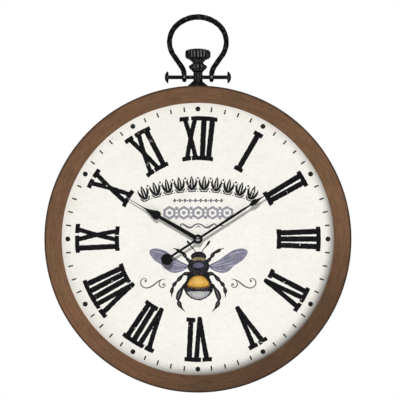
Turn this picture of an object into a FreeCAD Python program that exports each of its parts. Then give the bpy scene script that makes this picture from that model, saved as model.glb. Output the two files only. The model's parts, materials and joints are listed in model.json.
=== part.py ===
# Round wall clock in the form of a pocket watch: a turned wooden ring round a
# recessed dial, a cast iron stem, crown, crossbar and swinging bow on top, and
# a battery quartz movement with its whole wheel train behind the dial.
#
# Row frame: +Z up, the dial looks along -Y, +X is to the right of a person
# facing the clock.  The origin is the top of the keyhole slot, where the
# shank of the wall screw carries the clock, in the plane of the ring's back.
import FreeCAD, Part
import Sketcher
import math
import os

os.makedirs("parts", exist_ok=True)
doc = FreeCAD.newDocument("WallClock")
sheet = doc.addObject("Spreadsheet::Sheet", "Params")
V = FreeCAD.Vector
_row = [0]


class Q:
    """A size: its number, and the expression that gives it from the sheet."""

    def __init__(self, v, e):
        self.v, self.e = float(v), e

    @staticmethod
    def of(o):
        return o if isinstance(o, Q) else Q(o, "%.9g" % o)

    def __add__(self, o):
        o = Q.of(o)
        return Q(self.v + o.v, "(%s + %s)" % (self.e, o.e))

    __radd__ = __add__

    def __sub__(self, o):
        o = Q.of(o)
        return Q(self.v - o.v, "(%s - (%s))" % (self.e, o.e))

    def __rsub__(self, o):
        return Q.of(o) - self

    def __mul__(self, o):
        o = Q.of(o)
        return Q(self.v * o.v, "(%s * %s)" % (self.e, o.e))

    __rmul__ = __mul__

    def __truediv__(self, o):
        o = Q.of(o)
        return Q(self.v / o.v, "(%s / %s)" % (self.e, o.e))

    def __neg__(self):
        return Q(-self.v, "(-1 * %s)" % self.e)

    def __float__(self):
        return self.v


def cell(name, value):
    """One driving dimension: a plain number in the sheet, with an alias."""
    _row[0] += 1
    sheet.set("A%d" % _row[0], name)
    sheet.set("B%d" % _row[0], "%.9g" % value)
    sheet.setAlias("B%d" % _row[0], name)
    return Q(value, "Params." + name)


# ------------------------------------------------------------ driving sizes
face_z = cell("face_z", -243.0)            # height of the dial's centre
ring_outer = cell("ring_outer", 250.0)
ring_inner = cell("ring_inner", 222.0)
ring_depth = cell("ring_depth", 45.0)
recess = cell("recess", 14.0)              # dial face below the ring's face
board_thick = cell("board_thick", 3.0)
board_radius = cell("board_radius", 230.0)
rabbet_radius = cell("rabbet_radius", 230.5)
edge_round = cell("edge_round", 1.2)
shaft_hole = cell("shaft_hole", 4.3)
pin_circle = cell("pin_circle", 226.0)     # radius of the dial screws' circle
hang_thick = cell("hang_thick", 1.5)
hang_len = cell("hang_len", 42.0)
hang_high = cell("hang_high", 15.5)
key_slot = cell("key_slot", 2.25)
key_head = cell("key_head", 4.0)
key_drop = cell("key_drop", 5.5)           # slot centre above keyhole centre
top_depth = cell("top_depth", 21.5)        # top hardware in front of the back
stud_radius = cell("stud_radius", 3.0)
bar_radius = cell("bar_radius", 3.25)
bar_high = cell("bar_high", 263.7)         # crossbar above the dial's centre
bar_half = cell("bar_half", 54.15)
cap_radius = cell("cap_radius", 9.8)
cap_thick = cell("cap_thick", 6.6)
stem_radius = cell("stem_radius", 7.6)
foot_radius = cell("foot_radius", 15.7)
wire_radius = cell("wire_radius", 4.2)       # bow, at its legs and sides
wire_top = cell("wire_top", 4.95)             # bow, at the top
eye_radius = cell("eye_radius", 8.1)
eye_width = cell("eye_width", 7.8)
eye_offset = cell("eye_offset", 22.2)
eye_bore = cell("eye_bore", 3.33)
crown_radius = cell("crown_radius", 20.7)
case_size = cell("case_size", 56.0)
case_wall = cell("case_wall", 1.2)
case_front = cell("case_front", -27.0)
case_back = cell("case_back", -10.0)
bush_radius = cell("bush_radius", 4.0)
bush_bore = cell("bush_bore", 2.56)
tube_radius = cell("tube_radius", 2.5)
tube_bore = cell("tube_bore", 1.66)
arbor_radius = cell("arbor_radius", 1.6)
hour_reach = cell("hour_reach", 135.0)
minute_reach = cell("minute_reach", 163.0)
hand_thick = cell("hand_thick", 0.9)
hour_angle = cell("hour_angle", 300.0)
minute_angle = cell("minute_angle", 57.0)
battery_radius = cell("battery_radius", 7.1)
battery_len = cell("battery_len", 49.2)
battery_low = cell("battery_low", -19.2)   # battery axis below the shaft
battery_y = cell("battery_y", -18.4)
gear_thick = cell("gear_thick", 0.8)

DIAL = -(ring_depth - recess)              # y of the dial's face
BACK = DIAL + board_thick                  # y of the board's back
TOPY = -top_depth
TO_Y = FreeCAD.Rotation(V(1, 0, 0), -90)   # local +Z to row +Y
TO_FRONT = FreeCAD.Rotation(V(1, 0, 0), 90)  # drawing seen from the front
TO_X = FreeCAD.Rotation(V(0, 1, 0), 90)    # local +Z to row +X
UP = FreeCAD.Rotation()
nodes = []


def turned(angle):
    """A drawing seen from the front, turned clockwise by angle degrees."""
    return FreeCAD.Rotation(V(0, 1, 0), float(angle)).multiply(TO_FRONT)


# ---------------------------------------------------------------- helpers
def bind(obj, prop, q):
    if isinstance(q, Q):
        obj.setExpression(prop, q.e)
    else:
        setattr(obj, prop, q)


def place(obj, x=0.0, y=0.0, z=0.0, rot=UP):
    obj.Placement = FreeCAD.Placement(V(float(x), float(y), float(z)), rot)
    for axis, q in (("x", x), ("y", y), ("z", z)):
        if isinstance(q, Q):
            obj.setExpression("Placement.Base." + axis, q.e)
    return obj


def node(obj, name):
    obj.Label = name
    nodes.append(obj)
    return obj


def cyl(name, r, length, x=0.0, y=0.0, z=0.0, rot=TO_Y):
    o = doc.addObject("Part::Cylinder", name)
    bind(o, "Radius", r)
    bind(o, "Height", length)
    return place(o, x, y, z, rot)


def cone(name, r1, r2, length, x=0.0, y=0.0, z=0.0, rot=TO_Y):
    o = doc.addObject("Part::Cone", name)
    bind(o, "Radius1", r1)
    bind(o, "Radius2", r2)
    bind(o, "Height", length)
    return place(o, x, y, z, rot)


def box(name, sx, sy, sz, x, y, z, rot=UP):
    o = doc.addObject("Part::Box", name)
    bind(o, "Length", sx)
    bind(o, "Width", sy)
    bind(o, "Height", sz)
    return place(o, x, y, z, rot)


def hexagon(name, circum, length, x, y, z, rot=TO_Y):
    o = doc.addObject("Part::Prism", name)
    o.Polygon = 6
    bind(o, "Circumradius", circum)
    bind(o, "Height", length)
    return place(o, x, y, z, rot)


def fuse(name, *objs):
    o = doc.addObject("Part::MultiFuse", name)
    o.Shapes = list(objs)
    return o


def group(name, *objs):
    o = doc.addObject("Part::Compound", name)
    o.Links = list(objs)
    return o


def cut(name, base, *tools):
    o = doc.addObject("Part::Cut", name)
    o.Base = base
    o.Tool = tools[0] if len(tools) == 1 else group(name + "_tools", *tools)
    return o


def plane_of(body, role):
    for f in body.Origin.OriginFeatures:
        if f.Role == role:
            return f
    raise RuntimeError("no plane " + role)


def fix_point(sk, gi, pos, x, y):
    """Hold one vertex of a drawing to the sheet's sizes."""
    for kind, q in (("DistanceX", x), ("DistanceY", y)):
        q = Q.of(q)
        if abs(q.v) < 1e-9:
            other = "DistanceX" if kind == "DistanceX" else "DistanceY"
            sk.addConstraint(Sketcher.Constraint(
                "PointOnObject", gi, pos, -2 if other == "DistanceX" else -1))
        elif q.v > 0:
            i = sk.addConstraint(Sketcher.Constraint(kind, -1, 1, gi, pos, q.v))
            sk.setExpression("Constraints[%d]" % i, q.e)
        else:
            i = sk.addConstraint(Sketcher.Constraint(kind, gi, pos, -1, 1, -q.v))
            sk.setExpression("Constraints[%d]" % i, (-q).e)


def outline(sk, pts, held=True):
    """A closed outline.  A point is (x, y), or (x, y, mx, my), which reaches
    it by an arc through (mx, my)."""
    n = len(pts)
    for i in range(n):
        a, b = pts[i], pts[(i + 1) % n]
        pa, pb = V(float(a[0]), float(a[1]), 0), V(float(b[0]), float(b[1]), 0)
        if len(b) == 4:
            mid = V(float(b[2]), float(b[3]), 0)
            sk.addGeometry(Part.Arc(pa, mid, pb), False)
        else:
            sk.addGeometry(Part.LineSegment(pa, pb), False)
    if held:
        first = sk.GeometryCount - n
        for i in range(n):
            sk.addConstraint(Sketcher.Constraint(
                "Coincident", first + i, 2, first + (i + 1) % n, 1))
        for i in range(n):
            fix_point(sk, first + i, 1, pts[i][0], pts[i][1])


def sketch(body, name, role):
    sk = body.newObject("Sketcher::SketchObject", name)
    sk.AttachmentSupport = [(plane_of(body, role), "")]
    sk.MapMode = "FlatFace"
    return sk


def revolve(name, pts, x=0.0, y=0.0, z=0.0, rot=UP, held=True):
    """A turned piece: outline of (radius, height) about the local Z axis."""
    body = doc.addObject("PartDesign::Body", name + "_body")
    sk = sketch(body, name + "_profile", "XZ_Plane")
    outline(sk, pts, held)
    rev = body.newObject("PartDesign::Revolution", name + "_turned")
    rev.Profile = sk
    rev.ReferenceAxis = (sk, ["V_Axis"])
    rev.Angle = 360
    body.Tip = rev
    return place(body, x, y, z, rot)


def plate(name, pts, thick, x=0.0, y=0.0, z=0.0, rot=TO_FRONT, held=True,
          circles=()):
    """A flat piece: outline as seen from the front, thickness towards it."""
    body = doc.addObject("PartDesign::Body", name + "_body")
    sk = sketch(body, name + "_outline", "XY_Plane")
    outline(sk, pts, held)
    for cx, cy, r in circles:
        gi = sk.addGeometry(Part.Circle(V(float(cx), float(cy), 0),
                                        V(0, 0, 1), float(r)), False)
        i = sk.addConstraint(Sketcher.Constraint("Radius", gi, float(r)))
        if isinstance(r, Q):
            sk.setExpression("Constraints[%d]" % i, r.e)
        fix_point(sk, gi, 3, cx, cy)
    pad = body.newObject("PartDesign::Pad", name + "_pad")
    pad.Profile = sk
    bind(pad, "Length", thick)
    body.Tip = pad
    return place(body, x, y, z, rot)


def shape_node(name, shape):
    """A piece whose outline is worked out point by point."""
    o = doc.addObject("Part::Feature", name + "_solid")
    o.Shape = shape
    return o


def polar(cx, cz, r, deg):
    """Point on a circle round (cx, cz): deg clockwise from 12 o'clock."""
    a = math.radians(deg)
    return cx + r * math.sin(a), cz + r * math.cos(a)


# ------------------------------------------------------ wooden ring
e = edge_round
k = 0.2929
# Two layers, glued face to face: a front ring whose inner edge covers the edge
# of the dial, and a deeper hoop behind it that makes the rabbet.
ring = revolve("ring", [
    (ring_inner, -ring_depth + e),
    (ring_inner + e, -ring_depth, ring_inner + k * e, -ring_depth + k * e),
    (ring_outer - e, -ring_depth),
    (ring_outer, -ring_depth + e, ring_outer - k * e, -ring_depth + k * e),
    (ring_outer, DIAL),
    (ring_inner, DIAL)], z=face_z, rot=TO_Y)
hoop = revolve("hoop", [
    (rabbet_radius, DIAL),
    (ring_outer, DIAL),
    (ring_outer, 0.0),
    (rabbet_radius, 0.0)], z=face_z, rot=TO_Y)
ring_tools = []
front_tools = []
# seat for the keyhole plate, and room behind it for the wall screw's head
key_mid = face_z + 240.0 - 0.1
ring_tools.append(box("hang_seat", hang_len + 0.4, hang_thick, hang_high + 0.4,
                      -(hang_len / 2) - 0.2, -hang_thick, key_mid - hang_high / 2 - 0.2))
ring_tools.append(box("head_room", 13.0, 9.0, 13.4, -6.5, -hang_thick - 9.0, -11.0))
for sx in (-15.5, 15.5):
    ring_tools.append(cyl("hang_pilot", 1.3, 14.0, sx, -15.0, key_mid))
# stud hole, and a flat seat for its washer inside the ring
ring_tools.append(cyl("stud_hole", 3.2, 40.0, 0.0, TOPY, face_z + 220.0, UP))
ring_tools.append(cyl("washer_seat", 6.2, 11.5, 0.0, TOPY, face_z + 220.0, UP))
for i in range(6):
    px, pz = polar(0.0, 0.0, pin_circle.v, 30 + 60 * i)
    front_tools.append(cyl("dial_pilot", 1.3, 10.0, pin_circle * (px / pin_circle.v),
                           DIAL - 9.8, face_z + pin_circle * (pz / pin_circle.v)))
node(cut("frame_ring_cut", ring, *front_tools), "frame_ring")
node(cut("rear_hoop_cut", hoop, *ring_tools), "rear_hoop")

# ------------------------------------------------------ dial board, its screws
board = cyl("board_disc", board_radius, board_thick, 0.0, DIAL, face_z)
board_tools = [cyl("board_shaft_hole", shaft_hole, 8.0, 0.0, DIAL - 2.0, face_z)]
for i in range(6):
    px, pz = polar(0.0, 0.0, pin_circle.v, 30 + 60 * i)
    board_tools.append(cyl("board_screw_hole", 1.5, 8.0, pin_circle * (px / pin_circle.v),
                           DIAL - 2.0, face_z + pin_circle * (pz / pin_circle.v)))
node(cut("board_cut", board, *board_tools), "dial_board")


def screw(name, x, y, z, shank_r, shank_len, head_r, head_h, flat=False):
    """A cross-recessed screw, driven towards the front, its head at y."""
    if flat:
        prof = [(0.0, 0.0), (shank_r, 0.0), (shank_r, -shank_len + 2 * shank_r),
                (0.0, -shank_len)]
        head = [(0.0, head_h), (head_r, head_h), (head_r, head_h - 0.25),
                (shank_r, 0.0)]
        pts = [head[0], head[1], head[2], (shank_r, 0.0),
               (shank_r, -shank_len + 2 * shank_r), (0.0, -shank_len)]
    else:
        pts = [(0.0, head_h), (head_r * 0.6, head_h), (head_r, head_h * 0.35,
                head_r * 0.88, head_h * 0.78), (head_r, 0.0), (shank_r, 0.0),
               (shank_r, -shank_len + 2 * shank_r), (0.0, -shank_len)]
    b = revolve(name, pts, x, y, z, TO_Y, held=False)
    w = head_r * 0.24
    l = head_r * 1.15
    dep = head_h * 0.55
    c1 = box(name + "_slot", l, dep + 0.5, w, Q.of(x) - l / 2,
             Q.of(y) + head_h - dep, Q.of(z) - w / 2)
    c2 = box(name + "_slot_b", w, dep + 0.5, l, Q.of(x) - w / 2,
             Q.of(y) + head_h - dep, Q.of(z) - l / 2)
    return cut(name + "_cut", b, fuse(name + "_cross", c1, c2))


ds = []
for i in range(6):
    px, pz = polar(0.0, 0.0, 1.0, 30 + 60 * i)
    ds.append(screw("dial_screw%d" % i, pin_circle * px, BACK, face_z + pin_circle * pz,
                    1.25, 12.0, 2.8, 1.7))
node(group("dial_screw_set", *ds), "dial_screws")

# ------------------------------------------------------ keyhole hanger
hw = hang_len / 2 - hang_high / 2
hr = hang_high / 2
hang = plate("hang", [
    (-hw, -hr), (hw, -hr), (hw, hr, hw + hr, 0.0), (-hw, hr)],
    hang_thick, 0.0, 0.0, key_mid, TO_FRONT, held=False)
# the left end is rounded like the right one
hang_l = cyl("hang_left", hr, hang_thick, -hw, -hang_thick, key_mid)
hang_blank = fuse("hang_blank", hang, hang_l)
drop = key_drop
hang_tools = [
    cyl("key_head_hole", key_head, 4.0, 0.0, -3.0, -drop),
    box("key_slot_way", key_slot * 2, 4.0, drop, -key_slot, -3.0, -drop),
    cyl("key_slot_top", key_slot, 4.0, 0.0, -3.0, 0.0)]
for sx in (-15.5, 15.5):
    hang_tools.append(cyl("hang_hole", 1.6, 4.0, sx, -3.0, key_mid))
    hang_tools.append(cone("hang_csk", 1.6, 3.2, 1.5, sx, -1.5, key_mid))
node(cut("hang_cut", hang_blank, *hang_tools), "hanger_plate")
node(group("hang_screw_set",
           screw("hang_screw0", -15.5, -1.6, key_mid, 1.25, 12.0, 2.7, 1.5, flat=True),
           screw("hang_screw1", 15.5, -1.6, key_mid, 1.25, 12.0, 2.7, 1.5, flat=True)),
     "hanger_screws")

# ------------------------------------------------------ stem with its foot
BZ = face_z
stem_top = 272.0
foot = revolve("stem", [
    (0.0, 247.5), (foot_radius, 247.5), (foot_radius, 251.3),
    (stem_radius + 0.2, 257.9, 11.2, 254.7),
    (stem_radius, 259.4), (stem_radius, stem_top),
    (stud_radius, stem_top), (stud_radius, 304.0), (0.0, 304.0)],
    0.0, TOPY, BZ, UP, held=False)
saddle = cyl("saddle", ring_outer, 60.0, 0.0, -55.0, face_z)
stem_tools = [saddle, cyl("stem_bar_hole", bar_radius, 40.0, -20.0, TOPY, BZ + bar_high, TO_X),
              cyl("stem_stud_bore", stud_radius, 20.0, 0.0, TOPY, BZ + 239.5, UP)]
for i in range(12):
    a = math.radians(15 + 30 * i)
    stem_tools.append(cyl("stem_flute", 1.1, 10.9, (stem_radius + 0.55) * math.sin(a),
                          TOPY + (stem_radius + 0.55) * math.cos(a), BZ + 260.2, UP))
node(cut("stem_cut", foot, *stem_tools), "stem_post")

# threaded stud down through the ring, with washer and nut inside it
stud = cyl("stud_rod", stud_radius, 35.6, 0.0, TOPY, BZ + 223.6, UP)
node(stud, "stem_stud")
wash = cyl("stud_wash", 5.9, 1.2, 0.0, TOPY, BZ + 230.3, UP)
node(cut("stud_wash_cut", wash, cyl("stud_wash_hole", 3.2, 4.0, 0.0, TOPY, BZ + 229.0, UP)),
     "stud_washer")
nut = hexagon("stud_nut_hex", 5.77, 5.0, 0.0, TOPY, BZ + 225.3, UP)
node(cut("stud_nut_cut", nut, cyl("stud_nut_hole", stud_radius, 9.0, 0.0, TOPY,
                                  BZ + 223.0, UP)), "stud_nut")

# ------------------------------------------------------ collar and crown
collar = revolve("collar", [
    (stud_radius, stem_top), (7.9, stem_top), (9.2, 273.4), (14.0, 278.4),
    (14.2, 282.8, 15.1, 280.7), (11.4, 284.7), (9.2, 286.0), (8.9, 286.5),
    (stud_radius, 286.5)], 0.0, TOPY, BZ, UP, held=False)
collar_tools = []
for i in range(14):
    a = math.radians(360.0 / 14 * (i + 0.5))
    collar_tools.append(cyl("collar_flute", 1.7, 16.0, 15.3 * math.sin(a),
                            TOPY + 15.3 * math.cos(a), BZ + 271.2, UP))
node(cut("collar_cut", collar, *collar_tools), "stem_collar")

crown = revolve("crown", [
    (stud_radius, 286.5), (8.9, 286.5), (8.9, 288.0), (12.4, 291.2), (18.6, 294.2),
    (crown_radius, 298.8, 19.95, 296.2), (crown_radius, 303.4),
    (17.9, 308.2, 20.0, 306.4), (0.8, 310.7, 9.9, 310.1), (0.0, 310.7),
    (0.0, 304.5), (stud_radius, 304.5)], 0.0, TOPY, BZ, UP, held=False)
crown_tools = []
for i in range(24):
    a = math.radians(15.0 * (i + 0.5))
    crown_tools.append(cyl("crown_flute", 1.75, 26.0, (crown_radius + 0.7) * math.sin(a),
                           TOPY + (crown_radius + 0.7) * math.cos(a), BZ + 286.0, UP))
node(cut("crown_cut", crown, *crown_tools), "crown")

# ------------------------------------------------------ crossbar and its caps
node(cyl("bar_rod", bar_radius, (bar_half - 2.7) * 2, -(bar_half - 2.7), TOPY,
         BZ + bar_high, TO_X), "crossbar")
caps = []
for sgn in (-1, 1):
    # local Z runs outwards along the bar
    rot = TO_X if sgn > 0 else FreeCAD.Rotation(V(0, 1, 0), -90)
    cap = revolve("cap%d" % (sgn + 1), [
        (0.0, 3.9), (bar_radius, 3.9), (bar_radius, 0.0), (5.2, 0.0),
        (6.0, 1.2, 5.4, 0.8), (8.9, 0.3, 7.6, 1.1), (cap_radius, 1.2),
        (cap_radius - 0.2, 2.2), (0.6, cap_thick, 5.8, 5.3), (0.0, cap_thick)],
        sgn * (bar_half - cap_thick), TOPY, BZ + bar_high, rot, held=False)
    caps.append(cap)
node(group("cap_pair", *caps), "crossbar_caps")

# ------------------------------------------------------ bow
# Half path, (x, height above the dial's centre): three tangent arcs and one
# straight run, from the top round to the eye on the crossbar.
s40, c40 = math.sin(math.radians(40)), math.cos(math.radians(40))
top_r, side_r, leg_r, top_z = 51.0, 37.8, 27.7, 362.0
c1 = (0.0, top_z - top_r)
j1 = (top_r * s40, c1[1] + top_r * c40)
c2 = (j1[0] - side_r * s40, j1[1] - side_r * c40)
a2 = math.radians(125.0)
j2 = (c2[0] + side_r * math.sin(a2), c2[1] + side_r * math.cos(a2))
c3 = (eye_offset.v + leg_r, 266.0)
# the leg arc turns through the same angle as the slope left by the side arc
turn = math.radians(125.0 - 90.0)
j3 = (c3[0] - leg_r * math.cos(turn), c3[1] + leg_r * math.sin(turn))
end_z = 268.4
mid = lambda c, r, a: V(c[0] + r * math.sin(a), c[1] + r * math.cos(a), 0)
def half(sx):
    m = lambda p: V(sx * p[0], p[1], 0)
    a_mid2 = (math.radians(40) + a2) / 2
    lo = math.asin((end_z - c3[1]) / leg_r)
    e3 = (c3[0] - leg_r * math.cos(lo), end_z)
    am = (turn + lo) / 2
    m3 = (c3[0] - leg_r * math.cos(am), c3[1] + leg_r * math.sin(am))
    p2 = mid(c2, side_r, a_mid2)
    return [Part.Arc(m(j1), V(sx * p2.x, p2.y, 0), m(j2)),
            Part.LineSegment(m(j2), m(j3)),
            Part.Arc(m(j3), m(m3), m(e3))], e3
left, e_l = half(-1)
right, e_r = half(1)
s20, c20 = math.sin(math.radians(20)), math.cos(math.radians(20))
top_arcs = [Part.Arc(V(sx * j1[0], j1[1], 0), V(sx * top_r * s20, c1[1] + top_r * c20, 0),
                     V(0, top_z, 0)) for sx in (-1, 1)]
# the drawing's (x, height) stands up in the XZ plane
upright = FreeCAD.Placement(V(0, 0, 0), TO_FRONT)
edges = []
for g in left + top_arcs + right:
    edge = g.toShape()
    edge.Placement = upright
    edges.append(edge)
spine = Part.Wire(Part.__sortEdges__(edges))
# round sections at the joints of the path, thinnest at the sides and legs
wr, wt = wire_radius.v, wire_top.v
radii = [wr, wr, wr, (wr + wt) / 2, wt, (wr + wt) / 2, wr, wr, wr]
sections = []
for i, vert in enumerate(spine.OrderedVertexes):
    edge = spine.OrderedEdges[min(i, len(spine.OrderedEdges) - 1)]
    tangent = edge.tangentAt(edge.Curve.parameter(vert.Point))
    sections.append(Part.Wire(Part.makeCircle(radii[i], vert.Point, tangent)))
sweep = shape_node("bow_wire", spine.makePipeShell(sections, True, True))
place(sweep, 0.0, TOPY, BZ)
eyes = []
bores = []
for sgn in (-1, 1):
    eye = revolve("eye%d" % (sgn + 1), [
        (0.0, 0.0), (eye_radius - 1.6, 0.0),
        (eye_radius, 1.6, eye_radius - 0.47, 0.47),
        (eye_radius, eye_width - 1.6),
        (eye_radius - 1.6, eye_width, eye_radius - 0.47, eye_width - 0.47),
        (0.0, eye_width)],
        sgn * eye_offset - eye_width / 2, TOPY, BZ + bar_high, TO_X, held=False)
    eyes.append(eye)
    bores.append(cyl("eye_bore%d" % (sgn + 1), eye_bore, eye_width + 8.0,
                     sgn * eye_offset - eye_width / 2 - 4.0, TOPY, BZ + bar_high, TO_X))
node(cut("bow_cut", fuse("bow_blank", sweep, *eyes), *bores), "bow")

# ------------------------------------------------------ movement: case
cs = case_size
half_c = cs / 2
cw = case_wall
depth = case_back - case_front
case_blank = box("case_outer", cs, depth, cs, -half_c, case_front, face_z - half_c)
case_tools = [
    # wheel room, above the partition
    box("case_room", cs - cw * 2, depth, half_c + 10.0 - cw, -half_c + cw,
        case_front + 1.0, face_z - 10.0),
    # battery bay, below it
    box("case_bay", cs - cw * 2, depth, half_c - 11.2 - cw, -half_c + cw,
        case_front + 1.0, face_z - half_c + cw),
    cyl("case_bush_hole", bush_radius, 4.0, 0.0, case_front - 1.0, face_z)]
motion = (12.0, 0.0)
third = (-10.8 * math.cos(math.radians(30)), 10.8 * math.sin(math.radians(30)))
inter = (8.75 * math.cos(math.radians(60)), 8.75 * math.sin(math.radians(60)))
rotor = (inter[0] + 7.2 * math.cos(math.radians(60)),
         inter[1] + 7.2 * math.sin(math.radians(60)))
posts_at = ((-24.0, 24.0), (24.0, 24.0), (-24.0, -6.6), (24.0, -6.6))
post_list = []
for i, (px, pz) in enumerate(posts_at):
    post_list.append(cyl("case_post%d" % i, 2.6, depth - 1.0, px, case_front + 1.0,
                         face_z + pz))
# four short pillars that carry the train plate
pillars_at = ((-16.5, -8.0), (18.5, 11.0), (-12.0, 17.6), (18.6, -8.7))
for i, (px, pz) in enumerate(pillars_at):
    post_list.append(cyl("case_pillar%d" % i, 1.2, 5.6, px, case_front + 1.0,
                         face_z + pz))
case_hollow = cut("case_hollow", case_blank, *case_tools)
case_full = fuse("case_full", case_hollow, *post_list)
case_holes = []
for i, (px, pz) in enumerate(posts_at):
    case_holes.append(cyl("case_post_hole%d" % i, 0.85, 9.0, px, case_back - 8.9,
                          face_z + pz))
# front pivots of the motion wheel and of the third wheel
case_holes.append(cyl("case_pivot_motion", 0.55, 0.7, motion[0], case_front + 0.31,
                      face_z + motion[1]))
case_holes.append(cyl("case_pivot_third", 0.45, 0.7, third[0], case_front + 0.31,
                      face_z + third[1]))
case_holes.append(box("bay_notch", 14.0, 6.0, 4.0, -7.0, case_back - 5.0,
                      face_z - half_c - 1.0))
# slots in the partition for the tabs of the two battery contacts
for nm, x0 in (("left", -half_c + cw - 0.02), ("right", half_c - cw - 0.43)):
    case_holes.append(box("tab_slot_" + nm, 0.45, 3.2, 5.2, x0, battery_y + 0.9,
                          face_z - 11.6))
node(cut("case_done", case_full, *case_holes), "movement_case")

# back cover over the wheel room
cover = box("cover_blank", cs, 1.0, half_c + 11.2, -half_c, case_back, face_z - 11.2)
cover_tools = [cyl("cover_knob_hole", 2.2, 4.0, motion[0], case_back - 1.0,
                   face_z + motion[1])]
for i, (px, pz) in enumerate(posts_at):
    cover_tools.append(cyl("cover_hole%d" % i, 1.0, 4.0, px, case_back - 1.0, face_z + pz))
for i in range(5):
    cover_tools.append(box("cover_rib%d" % i, 14.0, 0.4, 1.2, -18.0, case_back + 0.7,
                           face_z + 2.0 + 3.0 * i))
cover_cut = cut("cover_cut", cover, *cover_tools)
bosses = []
for nm, (px, pz), r in (("third", third, 1.6), ("seconds", (0.0, 0.0), 1.6),
                        ("inter", inter, 1.6), ("rotor", rotor, 1.6)):
    bosses.append(cyl("cover_boss_" + nm, r, 1.4, px, case_back - 1.4, face_z + pz))
cover_full = fuse("cover_full", cover_cut, *bosses)
pivots = []
for nm, (px, pz) in (("third", third), ("seconds", (0.0, 0.0)), ("inter", inter),
                     ("rotor", rotor)):
    pivots.append(cyl("cover_pivot_" + nm, 0.45, 1.5, px, case_back - 1.5, face_z + pz))
node(cut("cover_done", cover_full, *pivots), "movement_cover")
node(group("case_screw_set", *[
    screw("case_screw%d" % i, px, case_back + 1.0, face_z + pz, 0.82, 8.0, 1.6, 0.9)
    for i, (px, pz) in enumerate(posts_at)]), "cover_screws")

# ------------------------------------------------------ movement: fixing
bush = revolve("bush", [
    (bush_bore, -35.0), (bush_radius - 0.3, -35.0), (bush_radius, -34.7),
    (bush_radius, -26.0), (bush_radius + 1.2, -26.0), (bush_radius + 1.2, -25.5),
    (bush_bore, -25.5)], z=face_z, rot=TO_Y, held=False)
node(bush, "threaded_bushing")
rw = cyl("rubber_disc", 9.5, 1.0, 0.0, BACK, face_z)
node(cut("rubber_cut", rw, cyl("rubber_hole", bush_radius + 0.05, 3.0, 0.0, BACK - 1.0,
                               face_z)), "rubber_washer")
bwash = cyl("brass_disc", 7.2, 0.5, 0.0, DIAL - 0.5, face_z)
node(cut("brass_cut", bwash, cyl("brass_hole", bush_radius + 0.05, 3.0, 0.0, DIAL - 2.0,
                                 face_z)), "brass_washer")
hnut = hexagon("hex_blank", 6.35, 2.4, 0.0, DIAL - 2.9, face_z)
node(cut("hex_cut", hnut, cyl("hex_hole", bush_radius, 5.0, 0.0, DIAL - 4.0, face_z)),
     "hex_nut")


# ------------------------------------------------------ toothed wheels
def teeth(count, module, profile, phase, cx, cz, y0, thick):
    """Toothed disc: profile is (radius, half thickness) from root to tip;
    phase is the direction of one tooth, anticlockwise from +X."""
    pts = []
    step = 2 * math.pi / count
    for n in range(count):
        c = phase + n * step
        for r, h in profile:
            pts.append(V(cx + r * math.cos(c - h / r), y0, cz + r * math.sin(c - h / r)))
        for r, h in reversed(profile):
            pts.append(V(cx + r * math.cos(c + h / r), y0, cz + r * math.sin(c + h / r)))
    pts.append(pts[0])
    return Part.Face(Part.makePolygon(pts)).extrude(V(0, thick, 0))


def wheel_profile(count, m):
    r = count * m / 2
    return [(r - 0.75 * m, 0.70 * m), (r, 0.60 * m), (r + 0.5 * m, 0.40 * m),
            (r + 0.8 * m, 0.18 * m)]


def pinion_profile(count, m):
    r = count * m / 2
    return [(r - 1.15 * m, 0.55 * m * (r - 1.15 * m) / r), (r, 0.52 * m),
            (r + 0.42 * m, 0.22 * m)]


def mesh_phase(n_a, phase_a, n_b, direction):
    """Phase of gear B in mesh with gear A; direction is from A's axis to B's."""
    pa, pb = 2 * math.pi / n_a, 2 * math.pi / n_b
    fa = ((direction - phase_a) / pa) % 1.0
    return direction + math.pi - pb * (0.5 - fa)


def rod(r, x, y0, y1, z):
    return Part.makeCylinder(r, y1 - y0, V(x, y0, z), V(0, 1, 0))


def ring_of(shape, *holes):
    for c in holes:
        shape = shape.cut(c)
    return shape


FZ = face_z.v
gt = gear_thick.v
cf, cb = case_front.v, case_back.v
ang = lambda a, b: math.atan2(b[1] - a[1], b[0] - a[0])
centre = (0.0, 0.0)
MOD_MOTION, MOD_HOUR, MOD_CENTRE = 0.5, 0.48, 0.3
MOD_THIRD, MOD_SECONDS, MOD_INTER = 10.8 / 34, 0.25, 0.2

# centre wheel (64) leads; every other wheel is in mesh from it
ph_centre = 0.0
ph_cannon = 0.0
ph_motion = mesh_phase(12, ph_cannon, 36, ang(centre, motion))
ph_motion_pinion = ph_motion
ph_hour = mesh_phase(10, ph_motion_pinion, 40, ang(motion, centre))
ph_third_pinion = mesh_phase(64, ph_centre, 8, ang(centre, third))
ph_third = ph_third_pinion
ph_sec_pinion = mesh_phase(60, ph_third, 8, ang(third, centre))
ph_sec = ph_sec_pinion
ph_int_pinion = mesh_phase(60, ph_sec, 10, ang(centre, inter))
ph_int = ph_int_pinion
ph_rotor = mesh_phase(60, ph_int, 12, ang(inter, rotor))

# hour wheel and its tube through the bushing
hour_y = cf + 1.7
tube = rod(tube_radius.v, 0, -36.6, hour_y + 0.5, FZ)
hour = teeth(40, MOD_HOUR, wheel_profile(40, MOD_HOUR), ph_hour, 0, FZ, hour_y, gt)
hour = hour.fuse(tube).cut(rod(tube_bore.v, 0, -40, hour_y + 3, FZ))
node(shape_node("hour_wheel", hour), "hour_wheel")

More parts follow.
